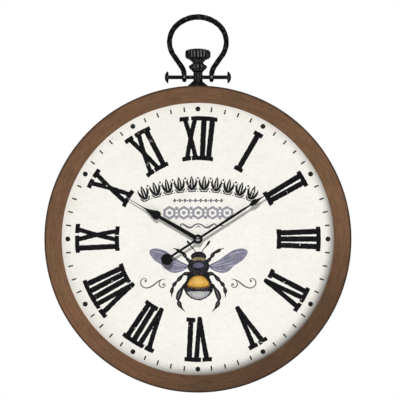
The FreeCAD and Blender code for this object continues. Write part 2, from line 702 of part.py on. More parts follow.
# cannon pinion: the minute arbor, with the friction-held centre wheel on it
can_y = cf + 3.0
cannon = teeth(12, MOD_MOTION, pinion_profile(12, MOD_MOTION), ph_cannon, 0, FZ, can_y, 1.1)
arb = arbor_radius.v
cannon = cannon.fuse(rod(arb, 0, -38.4, can_y + 2.6, FZ))
cannon = cannon.fuse(rod(1.2, 0, -40.4, -38.4, FZ))
cannon = cannon.cut(rod(0.75, 0, can_y - 3.0, can_y + 4.0, FZ))
node(shape_node("cannon_pinion", cannon), "cannon_pinion")
cen_y = can_y + 1.5
cwheel = teeth(64, MOD_CENTRE, wheel_profile(64, MOD_CENTRE), ph_centre, 0, FZ, cen_y, gt)
spokes = []
for n in range(4):
    a0 = math.radians(45 + 90 * n)
    spokes.append(rod(2.0, 5.4 * math.cos(a0), cen_y - 1, cen_y + 2, FZ + 5.4 * math.sin(a0)))
cwheel = ring_of(cwheel, rod(arb, 0, cen_y - 1, cen_y + 2, FZ), *spokes)
node(shape_node("centre_wheel", cwheel), "centre_wheel")

# motion-work wheel, its pinion and the setting arbor out of the back
mx, mz = motion[0], FZ + motion[1]
mwheel = teeth(36, MOD_MOTION, wheel_profile(36, MOD_MOTION), ph_motion, mx, mz, can_y + 0.1, gt)
mpin = teeth(10, MOD_HOUR, pinion_profile(10, MOD_HOUR), ph_motion_pinion, mx, mz,
             hour_y - 0.2, can_y + 0.2 - hour_y + 0.2)
mwheel = mwheel.fuse(mpin).fuse(rod(0.5, mx, cf + 0.35, hour_y, mz))
mwheel = mwheel.fuse(rod(1.0, mx, can_y, cb + 3.0, mz))
node(shape_node("motion_wheel", mwheel), "motion_wheel")
knob = revolve("knob", [
    (1.0, 1.3), (2.6, 1.3), (3.0, 1.6), (6.4, 1.6), (6.8, 2.0), (6.8, 5.2),
    (6.2, 5.8), (0.0, 5.8), (0.0, 3.0), (1.0, 3.0)],
    motion[0], case_back, face_z + motion[1], TO_Y, held=False)
knob_tools = []
for i in range(20):
    a = math.radians(18 * i)
    knob_tools.append(cyl("knob_groove", 0.5, 6.0, motion[0] + 6.95 * math.cos(a),
                          case_back + 1.2, face_z + motion[1] + 6.95 * math.sin(a)))
node(cut("knob_cut", knob, *knob_tools), "setting_knob")

# third wheel
tx, tz = third[0], FZ + third[1]
th_y = cf + 7.6
tp = teeth(8, MOD_CENTRE, pinion_profile(8, MOD_CENTRE), ph_third_pinion, tx, tz,
           cen_y - 0.3, th_y - cen_y + 0.4)
tw = teeth(60, MOD_THIRD, wheel_profile(60, MOD_THIRD), ph_third, tx, tz, th_y, gt)
tw = tw.fuse(tp).fuse(rod(0.7, tx, th_y, cb - 1.5, tz)).fuse(rod(0.4, tx, cb - 1.6, cb - 0.3, tz))
tw = tw.fuse(rod(0.4, tx, cf + 0.35, cen_y, tz))
node(shape_node("third_wheel", tw), "third_wheel")

# seconds wheel, on the centre line behind the cannon pinion
se_y = cf + 9.2
sp = teeth(8, MOD_THIRD, pinion_profile(8, MOD_THIRD), ph_sec_pinion, 0, FZ,
           th_y - 0.3, se_y - th_y + 0.4)
sw = teeth(60, MOD_SECONDS, wheel_profile(60, MOD_SECONDS), ph_sec, 0, FZ, se_y, gt)
sw = sw.fuse(sp).fuse(rod(0.7, 0, se_y, cb - 1.5, FZ)).fuse(rod(0.4, 0, cb - 1.6, cb - 0.3, FZ))
sw = sw.fuse(rod(0.7, 0, can_y + 1.0, th_y, FZ))
node(shape_node("seconds_wheel", sw), "seconds_wheel")

# intermediate wheel
ix, iz = inter[0], FZ + inter[1]
in_y = cf + 12.2
ip = teeth(10, MOD_SECONDS, pinion_profile(10, MOD_SECONDS), ph_int_pinion, ix, iz,
           se_y - 0.3, in_y - se_y + 0.4)
iw = teeth(60, MOD_INTER, wheel_profile(60, MOD_INTER), ph_int, ix, iz, in_y, gt)
iw = iw.fuse(ip).fuse(rod(0.6, ix, in_y, cb - 1.5, iz)).fuse(rod(0.4, ix, cb - 1.6, cb - 0.3, iz))
iw = iw.fuse(rod(0.4, ix, cf + 6.75, se_y, iz))
node(shape_node("intermediate_wheel", iw), "intermediate_wheel")

# rotor: pinion and arbor, with its magnet
rx, rz = rotor[0], FZ + rotor[1]
rp = teeth(12, MOD_INTER, pinion_profile(12, MOD_INTER), ph_rotor, rx, rz, in_y - 0.3, 1.3)
rp = rp.fuse(rod(0.6, rx, cf + 7.4, cb - 1.5, rz)).fuse(rod(0.4, rx, cb - 1.6, cb - 0.3, rz))
rp = rp.fuse(rod(0.4, rx, cf + 6.75, cf + 7.5, rz))
node(shape_node("rotor_pinion", rp), "rotor_pinion")
magnet = cyl("magnet_disc", 3.0, 2.4, rotor[0], cf + 8.2, face_z + rotor[1])
node(cut("magnet_cut", magnet, cyl("magnet_hole", 0.6, 6.0, rotor[0], cf + 7.0,
                                   face_z + rotor[1])), "rotor_magnet")

# train plate, between the centre wheel and the third wheel
tplate = plate("train_plate", [
    (-19.0, -9.6), (20.6, -9.6), (20.6, -3.0), (21.5, -1.5), (21.5, 14.0), (12.0, 18.0), (3.0, 19.6),
    (-14.0, 19.6), (-19.0, 15.0)], 0.6, 0.0, cf + 7.2, face_z, TO_FRONT, held=True)
tp_tools = [cyl("tp_centre", 1.5, 3.0, 0.0, cf + 5.5, face_z),
            cyl("tp_third", 2.1, 3.0, third[0], cf + 5.5, face_z + third[1]),
            cyl("tp_motion", 1.05, 3.0, motion[0], cf + 5.5, face_z + motion[1]),
            cyl("tp_inter", 0.45, 3.0, inter[0], cf + 5.5, face_z + inter[1]),
            cyl("tp_rotor", 0.45, 3.0, rotor[0], cf + 5.5, face_z + rotor[1])]
node(cut("train_plate_cut", tplate, *tp_tools), "train_plate")

# stator: one lamination stack round the rotor, and out to the coil's core
st_y = cf + 10.0
stator = plate("stator", [
    (-17.5, 17.0), (-6.0, 17.0), (2.0, 12.8), (3.4, 10.4), (5.6, 9.6), (10.6, 9.6),
    (13.4, 13.0), (17.5, 17.0), (17.5, 25.4), (13.9, 25.4), (13.9, 19.6),
    (-13.9, 19.6), (-13.9, 25.4), (-17.5, 25.4)],
    0.9, 0.0, st_y, face_z, TO_FRONT, held=True)
stator_ring = cyl("stator_ring", 5.2, 0.9, rotor[0], Q.of(st_y) - 0.9, face_z + rotor[1])
stator_full = fuse("stator_full", stator, stator_ring)
node(cut("stator_cut", stator_full,
         cyl("stator_bore", 3.45, 4.0, rotor[0], st_y - 2.5, face_z + rotor[1])), "stator")
# coil: core and bobbin in one, winding on it
core = box("coil_core", 35.0, 0.9, 2.6, -17.5, st_y, face_z + 22.1)
fl1 = cyl("coil_flange0", 3.3, 0.8, -12.6, st_y + 0.45, face_z + 23.4, TO_X)
fl2 = cyl("coil_flange1", 3.3, 0.8, 11.8, st_y + 0.45, face_z + 23.4, TO_X)
barrel = cyl("coil_barrel", 1.7, 25.2, -12.6, st_y + 0.45, face_z + 23.4, TO_X)
node(fuse("coil_bobbin_full", core, fl1, fl2, barrel), "coil_bobbin")
wind = cyl("coil_wire", 2.9, 23.6, -11.8, st_y + 0.45, face_z + 23.4, TO_X)
node(cut("coil_wind_cut", wind, cyl("coil_wire_bore", 1.7, 30.0, -15.0, st_y + 0.45,
                                    face_z + 23.4, TO_X)), "coil_winding")

# circuit board under the cover, with chip and crystal
pcb = plate("pcb", [(-26.0, -3.4), (-14.0, -3.4), (-14.0, 12.0), (-20.0, 12.0),
                    (-20.0, 18.0), (-26.0, 18.0)],
            0.8, 0.0, cb - 0.05, face_z, TO_FRONT, held=True)
node(pcb, "circuit_board")
chip = revolve("chip", [(0.0, 0.0), (2.6, 0.0), (1.9, 1.0, 2.45, 0.7), (0.0, 1.3)],
               -22.9, cb - 0.85, face_z + 12.6, TO_FRONT, held=False)
node(chip, "chip_blob")
node(cyl("crystal_can", 1.0, 6.2, -22.6, cb - 1.85, face_z - 1.6, UP), "quartz_crystal")

# ------------------------------------------------------ battery and contacts
bx0 = -24.9
cellb = revolve("cell", [
    (0.0, 0.0), (battery_radius - 0.5, 0.0), (battery_radius, 0.5), (battery_radius, 47.4),
    (battery_radius - 0.8, 48.1), (2.75, 48.1), (2.75, 49.2), (2.4, 49.5), (0.0, 49.5)],
    bx0, battery_y, face_z + battery_low, TO_X, held=False)
node(cellb, "battery")
# positive plate at the right wall, negative leaf spring at the left wall
pos_plate = box("pos_plate", 0.4, 8.0, 9.0, half_c - cw - 0.4, battery_y - 4.0,
                face_z + battery_low - 4.5)
pos_dome = cyl("pos_dome", 2.6, 1.5, half_c - cw - 1.9, battery_y, face_z + battery_low, TO_X)
pos_tab = box("pos_tab", 0.4, 3.0, 12.5, half_c - cw - 0.4, battery_y + 1.0,
              face_z + battery_low)
node(fuse("contact_pos", pos_plate, pos_dome, pos_tab), "contact_positive")
neg_plate = box("neg_plate", 0.4, 8.0, 9.0, -half_c + cw, battery_y - 4.0,
                face_z + battery_low - 4.5)
neg_cup = cone("neg_cup", 3.6, 2.0, 1.25, -half_c + cw + 0.4, battery_y,
               face_z + battery_low, TO_X)
neg_tab = box("neg_tab", 0.4, 3.0, 12.5, -half_c + cw, battery_y + 1.0,
              face_z + battery_low)
node(fuse("contact_neg", neg_plate, neg_cup, neg_tab), "contact_negative")

# ------------------------------------------------------ hands
# Outlines point to 12 o'clock: (half width, distance from the shaft).


def hand(name, right_side, hub_r, hole_r, y_back, thick, angle, extra=()):
    """A hand from one B-spline side and its mirror, with a round hub."""
    b = doc.addObject("PartDesign::Body", name + "_body")
    sk = sketch(b, name + "_outline", "XY_Plane")
    for run in right_side:
        for sx in (1, -1):
            p = [V(sx * x, y, 0) for x, y in run]
            if len(p) == 2:
                sk.addGeometry(Part.LineSegment(p[0], p[1]), False)
            else:
                c = Part.BSplineCurve()
                c.interpolate(p)
                sk.addGeometry(c, False)
    a, z = right_side[0][0], right_side[-1][-1]
    if abs(a[0]) > 1e-9:
        sk.addGeometry(Part.LineSegment(V(-a[0], a[1], 0), V(a[0], a[1], 0)), False)
    if abs(z[0]) > 1e-9:
        sk.addGeometry(Part.LineSegment(V(-z[0], z[1], 0), V(z[0], z[1], 0)), False)
    pad = b.newObject("PartDesign::Pad", name + "_pad")
    pad.Profile = sk
    bind(pad, "Length", thick)
    b.Tip = pad
    place(b, 0.0, y_back, face_z, turned(angle))
    hub = cyl(name + "_hub", hub_r, thick, 0.0, Q.of(y_back) - thick, face_z)
    return cut(name + "_cut", fuse(name + "_full", b, hub, *extra),
               cyl(name + "_hole", hole_r, 6.0, 0.0, Q.of(y_back) - 3.0, face_z))


# hour hand: tapered arm, spade with square shoulders, long needle
hr_t = hour_reach.v
hour_side = [[(3.5, 2.0), (3.2, 30.0), (2.9, 60.0), (2.75, 72.2)],
             [(2.75, 72.2), (4.6, 72.3), (6.5, 73.6), (7.4, 76.2), (7.4, 78.8), (6.5, 81.9),
              (5.3, 85.0), (4.0, 88.2), (2.95, 91.6), (2.0, 95.2), (1.25, 99.2), (0.85, 103.0)],
             [(0.85, 103.0), (0.7, 108.0), (0.6, 120.0), (0.45, hr_t)]]
node(hand("hour_hand", hour_side, 7.65, tube_radius, -35.3, hand_thick, hour_angle),
     "hour_hand")
# minute hand: slim arm and spade, with a round counterweight on its tail
mr = minute_reach.v
minute_side = [[(1.95, -54.0), (1.95, 0.0), (2.05, 50.0), (1.85, 88.0), (1.2, 99.6)],
               [(1.2, 99.6), (1.9, 101.6), (3.1, 104.4), (3.7, 107.6), (3.7, 110.8),
                (3.1, 114.2), (2.2, 117.6), (1.4, 121.2), (0.9, 125.0)],
               [(0.9, 125.0), (0.65, 140.0), (0.45, mr)]]
wx = -60.6 * math.sin(math.radians(minute_angle.v))
wz = -60.6 * math.cos(math.radians(minute_angle.v))
weight = cyl("minute_weight", 9.3, hand_thick, wx, -37.5 - hand_thick, face_z + wz)
node(hand("minute_hand", minute_side, 6.4, arbor_radius, -37.5, hand_thick, minute_angle,
          (weight,)), "minute_hand")
# domed cap nut on the end of the minute arbor
capn = revolve("cap_nut", [
    (1.2, 0.0), (3.9, 0.0), (3.9, 0.7), (2.7, 2.1, 3.5, 1.5), (0.4, 2.9, 1.6, 2.7), (0.0, 2.9),
    (0.0, 2.05), (1.2, 2.05)], 0.0, -38.4, face_z, TO_FRONT, held=False)
node(capn, "cap_nut")

# ------------------------------------------------------ check and write
doc.recompute()
bad = []
for o in doc.Objects:
    if any(s in ("Invalid", "Error") for s in o.State):
        bad.append("%s %s" % (o.Name, o.State))
for o in nodes:
    s = o.Shape
    if s.isNull() or not s.isValid() or s.Volume <= 0:
        bad.append("%s has no valid solid" % o.Label)
if bad:
    raise RuntimeError("; ".join(bad))
for o in nodes:
    o.Shape.exportStep("parts/%s.step" % o.Label)
    bb = o.Shape.BoundBox
    print("%-20s solids %d vol %10.1f  x %.1f..%.1f y %.1f..%.1f z %.1f..%.1f" % (
        o.Label, len(o.Shape.Solids), o.Shape.Volume, bb.XMin, bb.XMax, bb.YMin, bb.YMax,
        bb.ZMin, bb.ZMax))
print(len(nodes), "nodes")
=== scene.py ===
# Pocket-watch-style wall clock: looks.  Every length in the drawing code is in
# millimetres from the dial's centre; objects are made in metres.
import bpy
import json
import math
import numpy as np
from mathutils import Vector, Matrix, geometry


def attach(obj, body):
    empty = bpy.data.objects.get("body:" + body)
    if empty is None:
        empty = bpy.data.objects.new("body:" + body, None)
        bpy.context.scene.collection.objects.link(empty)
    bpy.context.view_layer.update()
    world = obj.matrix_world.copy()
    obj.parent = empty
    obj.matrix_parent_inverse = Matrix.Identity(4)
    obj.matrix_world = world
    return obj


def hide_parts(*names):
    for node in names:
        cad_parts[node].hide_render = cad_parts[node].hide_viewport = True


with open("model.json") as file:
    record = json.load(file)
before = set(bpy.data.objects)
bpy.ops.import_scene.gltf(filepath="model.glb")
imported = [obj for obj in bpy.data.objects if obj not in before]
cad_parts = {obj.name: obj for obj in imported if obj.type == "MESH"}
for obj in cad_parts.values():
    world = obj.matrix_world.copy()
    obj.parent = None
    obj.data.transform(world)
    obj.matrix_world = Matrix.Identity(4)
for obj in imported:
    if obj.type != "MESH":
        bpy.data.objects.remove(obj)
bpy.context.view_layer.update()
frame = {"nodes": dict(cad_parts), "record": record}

NODES = frame["nodes"]
FZ = -0.243                 # height of the dial's centre, m
TOPY = -0.0215              # plane of the stem, crown and bow, m
DIAL = -31.0                # front of the dial board, mm
scene = bpy.context.scene
scene.view_settings.view_transform = "Standard"
scene.view_settings.look = "None"


def srgb(r, g, b):
    """sRGB 0-255 to linear, for a shader socket."""
    out = []
    for c in (r, g, b):
        c = c / 255.0
        out.append(c / 12.92 if c <= 0.04045 else ((c + 0.055) / 1.055) ** 2.4)
    return (out[0], out[1], out[2], 1.0)


# ---------------------------------------------------------------- camera
cam_data = bpy.data.cameras.new("camera")
cam_data.sensor_width = 36.0
cam_data.lens = 663.6
cam_data.clip_end = 50.0
cam = bpy.data.objects.new("camera", cam_data)
scene.collection.objects.link(cam)
cam.location = (0.0034, -12.045, -0.1794)
cam.rotation_euler = (math.radians(90), 0, 0)
scene.camera = cam


# ---------------------------------------------------------------- materials
class Nodes:
    """A small helper that writes shader nodes."""

    def __init__(self, name):
        self.m = bpy.data.materials.new(name)
        self.m.use_nodes = True
        self.t = self.m.node_tree
        self.t.nodes.clear()
        self.out = self.t.nodes.new("ShaderNodeOutputMaterial")
        self.b = self.t.nodes.new("ShaderNodeBsdfPrincipled")
        self.t.links.new(self.b.outputs[0], self.out.inputs[0])
        tc = self.t.nodes.new("ShaderNodeTexCoord")
        self.pos = tc.outputs["Object"]
        self.m.diffuse_color = (0.5, 0.5, 0.5, 1.0)

    def new(self, kind, **props):
        n = self.t.nodes.new(kind)
        for k, v in props.items():
            setattr(n, k, v)
        return n

    def set(self, node, key, value):
        s = node.inputs[key]
        if isinstance(value, bpy.types.NodeSocket):
            self.t.links.new(value, s)
        else:
            s.default_value = value

    def p(self, key, value):
        """A socket of the shader itself."""
        self.set(self.b, key, value)

    def map(self, scale=(1, 1, 1), rot=(0, 0, 0), loc=(0, 0, 0), src=None):
        n = self.new("ShaderNodeMapping")
        self.set(n, "Vector", src or self.pos)
        n.inputs["Scale"].default_value = scale
        n.inputs["Rotation"].default_value = rot
        n.inputs["Location"].default_value = loc
        return n.outputs[0]

    def noise(self, scale, detail=2.0, rough=0.5, dist=0.0, src=None):
        n = self.new("ShaderNodeTexNoise")
        self.set(n, "Vector", src or self.pos)
        n.inputs["Scale"].default_value = scale
        n.inputs["Detail"].default_value = detail
        n.inputs["Roughness"].default_value = rough
        n.inputs["Distortion"].default_value = dist
        return n.outputs["Fac"]

    def voro(self, scale, feature="F1", rand=1.0, src=None, out="Distance", smooth=0.5):
        n = self.new("ShaderNodeTexVoronoi", feature=feature)
        self.set(n, "Vector", src or self.pos)
        n.inputs["Scale"].default_value = scale
        n.inputs["Randomness"].default_value = rand
        if feature == "SMOOTH_F1":
            n.inputs["Smoothness"].default_value = smooth
        return n.outputs[out]

    def ramp(self, fac, *stops, mode="LINEAR"):
        n = self.new("ShaderNodeValToRGB")
        n.color_ramp.interpolation = mode
        e = n.color_ramp.elements
        while len(e) < len(stops):
            e.new(0.5)
        for el, (pos, c) in zip(e, stops):
            el.position = pos
            el.color = c if isinstance(c, tuple) else (c, c, c, 1.0)
        self.set(n, "Fac", fac)
        return n.outputs["Color"]

    def mix(self, fac, a, b, blend="MIX"):
        n = self.new("ShaderNodeMixRGB", blend_type=blend)
        self.set(n, "Fac", fac)
        self.set(n, "Color1", a)
        self.set(n, "Color2", b)
        return n.outputs[0]

    def math(self, op, a, b=0.0, c=0.0, clamp=False):
        n = self.new("ShaderNodeMath", operation=op, use_clamp=clamp)
        for i, v in enumerate((a, b, c)):
            if isinstance(v, bpy.types.NodeSocket):
                self.t.links.new(v, n.inputs[i])
            else:
                n.inputs[i].default_value = v
        return n.outputs[0]

    def range(self, v, a, b, c=0.0, d=1.0):
        n = self.new("ShaderNodeMapRange")
        n.clamp = True
        self.set(n, "Value", v)
        for k, x in (("From Min", a), ("From Max", b), ("To Min", c), ("To Max", d)):
            n.inputs[k].default_value = x
        return n.outputs[0]

    def bump(self, height, strength=0.5, dist=0.0005, normal=None):
        n = self.new("ShaderNodeBump")
        n.inputs["Strength"].default_value = strength
        n.inputs["Distance"].default_value = dist
        self.set(n, "Height", height)
        if normal is not None:
            self.set(n, "Normal", normal)
        return n.outputs[0]

    def point(self):
        return self.new("ShaderNodeNewGeometry").outputs["Pointiness"]

    def xyz(self):
        n = self.new("ShaderNodeSeparateXYZ")
        self.set(n, "Vector", self.pos)
        return n.outputs[0], n.outputs[1], n.outputs[2]


WOOD_GAIN = (1.14, 1.20, 1.24, 1.0)
# painted shade round the ring, partly the stain's own depth: (turn from the bottom, clockwise, factor)
WOOD_STAIN_AND_SHADE = ((0.0, 0.58), (0.06, 0.72), (0.14, 0.91), (0.20, 0.99), (0.27, 0.86), (0.36, 0.88),
              (0.5, 0.88), (0.57, 0.80), (0.64, 0.93), (0.71, 0.96), (0.77, 0.74), (0.84, 0.52),
              (0.93, 0.49), (1.0, 0.58))


def wood_material():
    w = Nodes("stained_wood")
    x, y, z = w.xyz()
    zc = w.math("SUBTRACT", z, FZ)
    r2 = w.math("ADD", w.math("MULTIPLY", x, x), w.math("MULTIPLY", zc, zc))
    r = w.math("SQRT", r2)
    # figure that follows the ring: quick across it, slow along it
    comb = w.new("ShaderNodeCombineXYZ")
    w.set(comb, "X", w.math("MULTIPLY", r, 1.0))
    w.set(comb, "Y", w.math("MULTIPLY", x, 0.055))
    w.set(comb, "Z", w.math("MULTIPLY", z, 0.055))
    yy = w.math("MULTIPLY", y, 1.0)
    add = w.new("ShaderNodeCombineXYZ")
    w.set(add, "X", yy)
    w.set(add, "Y", 0.0)
    w.set(add, "Z", 0.0)
    va = w.new("ShaderNodeVectorMath", operation="ADD")
    w.set(va, 0, comb.outputs[0])
    w.set(va, 1, add.outputs[0])
    grain_vec = va.outputs[0]
    streak = w.noise(420.0, 6.0, 0.62, 0.25, grain_vec)
    pores = w.noise(1900.0, 3.0, 0.6, 0.0, grain_vec)
    patch = w.noise(19.0, 4.0, 0.6, 0.8)
    patch2 = w.noise(46.0, 3.0, 0.55, 0.4)
    blot = w.noise(110.0, 3.0, 0.6, 0.3)
    tone = w.ramp(patch, (0.30, srgb(108, 83, 58)), (0.46, srgb(116, 86, 60)),
                  (0.58, srgb(121, 85, 62)), (0.72, srgb(111, 86, 58)))
    tone = w.mix(w.range(patch2, 0.40, 0.64, 0.0, 0.50), tone, srgb(130, 88, 64))
    tone = w.mix(w.range(blot, 0.48, 0.70, 0.0, 0.40), tone, srgb(90, 66, 45))
    tone = w.mix(w.range(streak, 0.40, 0.58, 0.0, 0.52), tone, srgb(78, 55, 40))
    tone = w.mix(w.range(streak, 0.58, 0.70, 0.0, 0.50), tone, srgb(162, 124, 88))
    tone = w.mix(w.range(pores, 0.58, 0.72, 0.0, 0.55), tone, srgb(46, 32, 22))
    tone = w.mix(1.0, tone, WOOD_GAIN, "MULTIPLY")
    # painted shade round the ring, partly the stain's own variation: darkest to the lower right and bottom
    side = w.math("ARCTAN2", x, zc)
    turn = w.range(side, -math.pi, math.pi)
    depth = w.ramp(turn, *WOOD_STAIN_AND_SHADE, mode="LINEAR")
    tone = w.mix(1.0, tone, depth, "MULTIPLY")
    # a painted shadow: a dark line on the outer arris of the front face
    painted_edge = w.math("MULTIPLY", w.range(r, 0.2462, 0.2490, 0.0, 0.80), w.range(y, -0.0444, -0.0425, 1.0, 0.0))
    tone = w.mix(painted_edge, tone, (0.0, 0.0, 0.0, 1.0))
    w.p("Base Color", tone)
    w.p("Roughness", w.range(streak, 0.3, 0.7, 0.46, 0.66))
    w.b.inputs["Specular IOR Level"].default_value = 0.12
    h = w.mix(0.5, streak, pores)
    w.p("Normal", w.bump(h, 0.35, 0.0004))
    return w.m


def iron_material(name="cast_iron", ridges=0, painted_glints=None, highlight_bands=(), shine=srgb(92, 92, 96)):
    """Black waxed iron, its glints painted into the colour.  ridges: how many ribs round the stem's axis
    carry painted highlights; the spot list: places (x, y, z in metres, radius) painted grey as highlights."""
    w = Nodes(name)
    x, y, z = w.xyz()
    ham = w.voro(330.0, "SMOOTH_F1", 1.0, smooth=0.7)
    ham2 = w.noise(760.0, 4.0, 0.6, 0.2)
    fine = w.noise(4200.0, 2.0, 0.6)
    patch = w.noise(190.0, 3.0, 0.55, 0.4)
    painted_edge = w.range(w.point(), 0.510, 0.552, 0.0, 1.0)
    col = w.mix(w.range(ham2, 0.42, 0.70, 0.0, 1.0), srgb(3, 3, 4), srgb(15, 15, 17))
    # light grey patches: painted glints, partly worn metal
    col = w.mix(w.math("MULTIPLY", w.range(patch, 0.50, 0.66, 0.0, 1.0), w.range(ham2, 0.44, 0.60, 0.0, 0.62)),
                col, srgb(106, 106, 110))
    # convex edges painted lighter: painted highlight, partly worn edges
    col = w.mix(w.math("MULTIPLY", painted_edge, w.range(patch, 0.38, 0.60, 0.0, 0.6)), col, srgb(96, 96, 99))
    col = w.mix(w.range(fine, 0.62, 0.75, 0.0, 0.2), col, srgb(50, 48, 46))
    if ridges:
        yy = w.math("SUBTRACT", y, TOPY)
        th = w.math("ARCTAN2", x, yy)
        rib_highlight = w.range(w.math("COSINE", w.math("MULTIPLY", th, float(ridges))), 0.45, 0.98, 0.0, 1.0)
        rib_highlight = w.math("MULTIPLY", rib_highlight, w.range(ham2, 0.40, 0.56, 0.0, 1.0))
        # painted highlights on the ribs, only on their front: bands (low, high, half width) in which they show
        wear_and_highlight = 0.0
        for low, high, half in highlight_bands:
            one = w.math("MULTIPLY", w.range(z, FZ + low, FZ + low + 0.0010, 0.0, 1.0),
                         w.range(z, FZ + high - 0.0010, FZ + high, 1.0, 0.0))
            one = w.math("MULTIPLY", one, w.range(w.math("ABSOLUTE", x), half * 0.72, half, 1.0, 0.0))
            wear_and_highlight = w.math("MAXIMUM", wear_and_highlight, one)
        rib_highlight = w.math("MULTIPLY", rib_highlight, wear_and_highlight)
        col = w.mix(rib_highlight, col, shine)
    # painted grey highlights round the given spots
    for px, py, pz, pr in painted_glints or ():
        v = w.new("ShaderNodeVectorMath", operation="DISTANCE")
        w.set(v, 0, w.pos)
        v.inputs[1].default_value = (px, py, pz)
        k = w.range(v.outputs["Value"], pr * 0.35, pr, 0.85, 0.0)
        col = w.mix(k, col, srgb(132, 132, 136))
    w.p("Base Color", col)
    w.b.inputs["Metallic"].default_value = 0.0
    w.p("Roughness", w.range(ham2, 0.3, 0.7, 0.36, 0.6))
    w.b.inputs["Specular IOR Level"].default_value = 0.06
    b1 = w.bump(ham, 0.6, 0.0012)
    b2 = w.bump(ham2, 0.5, 0.0006, b1)
    w.p("Normal", w.bump(fine, 0.25, 0.0002, b2))
    return w.m


def metal_material(name, colour, dark, rough=0.3, scale=900.0, brushed=None, metallic=1.0):
    w = Nodes(name)
    src = w.map(brushed) if brushed else None
    n1 = w.noise(scale, 4.0, 0.6, 0.2, src)
    n2 = w.noise(scale * 0.12, 3.0, 0.5)
    col = w.mix(w.range(n2, 0.35, 0.7), colour, dark)
    col = w.mix(w.range(n1, 0.5, 0.75, 0.0, 0.35), col, dark)
    w.p("Base Color", col)
    w.b.inputs["Metallic"].default_value = metallic
    w.p("Roughness", w.range(n1, 0.3, 0.7, rough * 0.8, rough * 1.35))
    w.p("Normal", w.bump(n1, 0.12, 0.0001))
    return w.m


def plastic_material(name, colour, dark, rough=0.5, grain=3500.0, strength=0.25, spec=0.4):
    w = Nodes(name)
    n1 = w.noise(grain, 2.0, 0.6)
    n2 = w.noise(60.0, 3.0, 0.55, 0.3)
    dust = w.noise(420.0, 4.0, 0.7, 0.2)
    col = w.mix(w.range(n2, 0.35, 0.68), colour, dark)
    col = w.mix(w.range(dust, 0.58, 0.8, 0.0, 0.22), col, srgb(170, 166, 158))
    w.p("Base Color", col)
    w.p("Roughness", w.range(n2, 0.3, 0.7, rough * 0.9, rough * 1.15))
    w.b.inputs["Specular IOR Level"].default_value = spec
    w.p("Normal", w.bump(n1, strength, 0.0002))
    return w.m


def board_material():
    """Medium-density fibreboard: felted fibres and a few dark flecks."""
    w = Nodes("fibreboard")
    f1 = w.noise(900.0, 5.0, 0.7, 0.6)
    f2 = w.noise(2600.0, 3.0, 0.7, 0.3, w.map((1.0, 1.0, 0.45), (0, 0.6, 0)))
    n2 = w.noise(14.0, 4.0, 0.6, 0.3)
    col = w.ramp(f1, (0.3, srgb(120, 92, 64)), (0.5, srgb(151, 120, 87)), (0.7, srgb(172, 143, 108)))
    col = w.mix(w.range(n2, 0.35, 0.7, 0.0, 0.35), col, srgb(126, 99, 72))
    col = w.mix(w.range(f2, 0.62, 0.74, 0.0, 0.6), col, srgb(86, 63, 43))
    w.p("Base Color", col)
    w.b.inputs["Roughness"].default_value = 0.82
    w.p("Normal", w.bump(w.mix(0.5, f1, f2), 0.35, 0.0003))
    return w.m


# painted shadow of the ring on the face's rim: how deep it is, by the angle from the bottom, clockwise
RIM_PAINTED_SHADOW = ((0.0, 0.70), (0.06, 0.30), (0.14, 0.10), (0.30, 0.06), (0.45, 0.09), (0.55, 0.15),
            (0.63, 0.38), (0.71, 0.68), (0.80, 0.86), (0.93, 0.96), (1.0, 0.74))


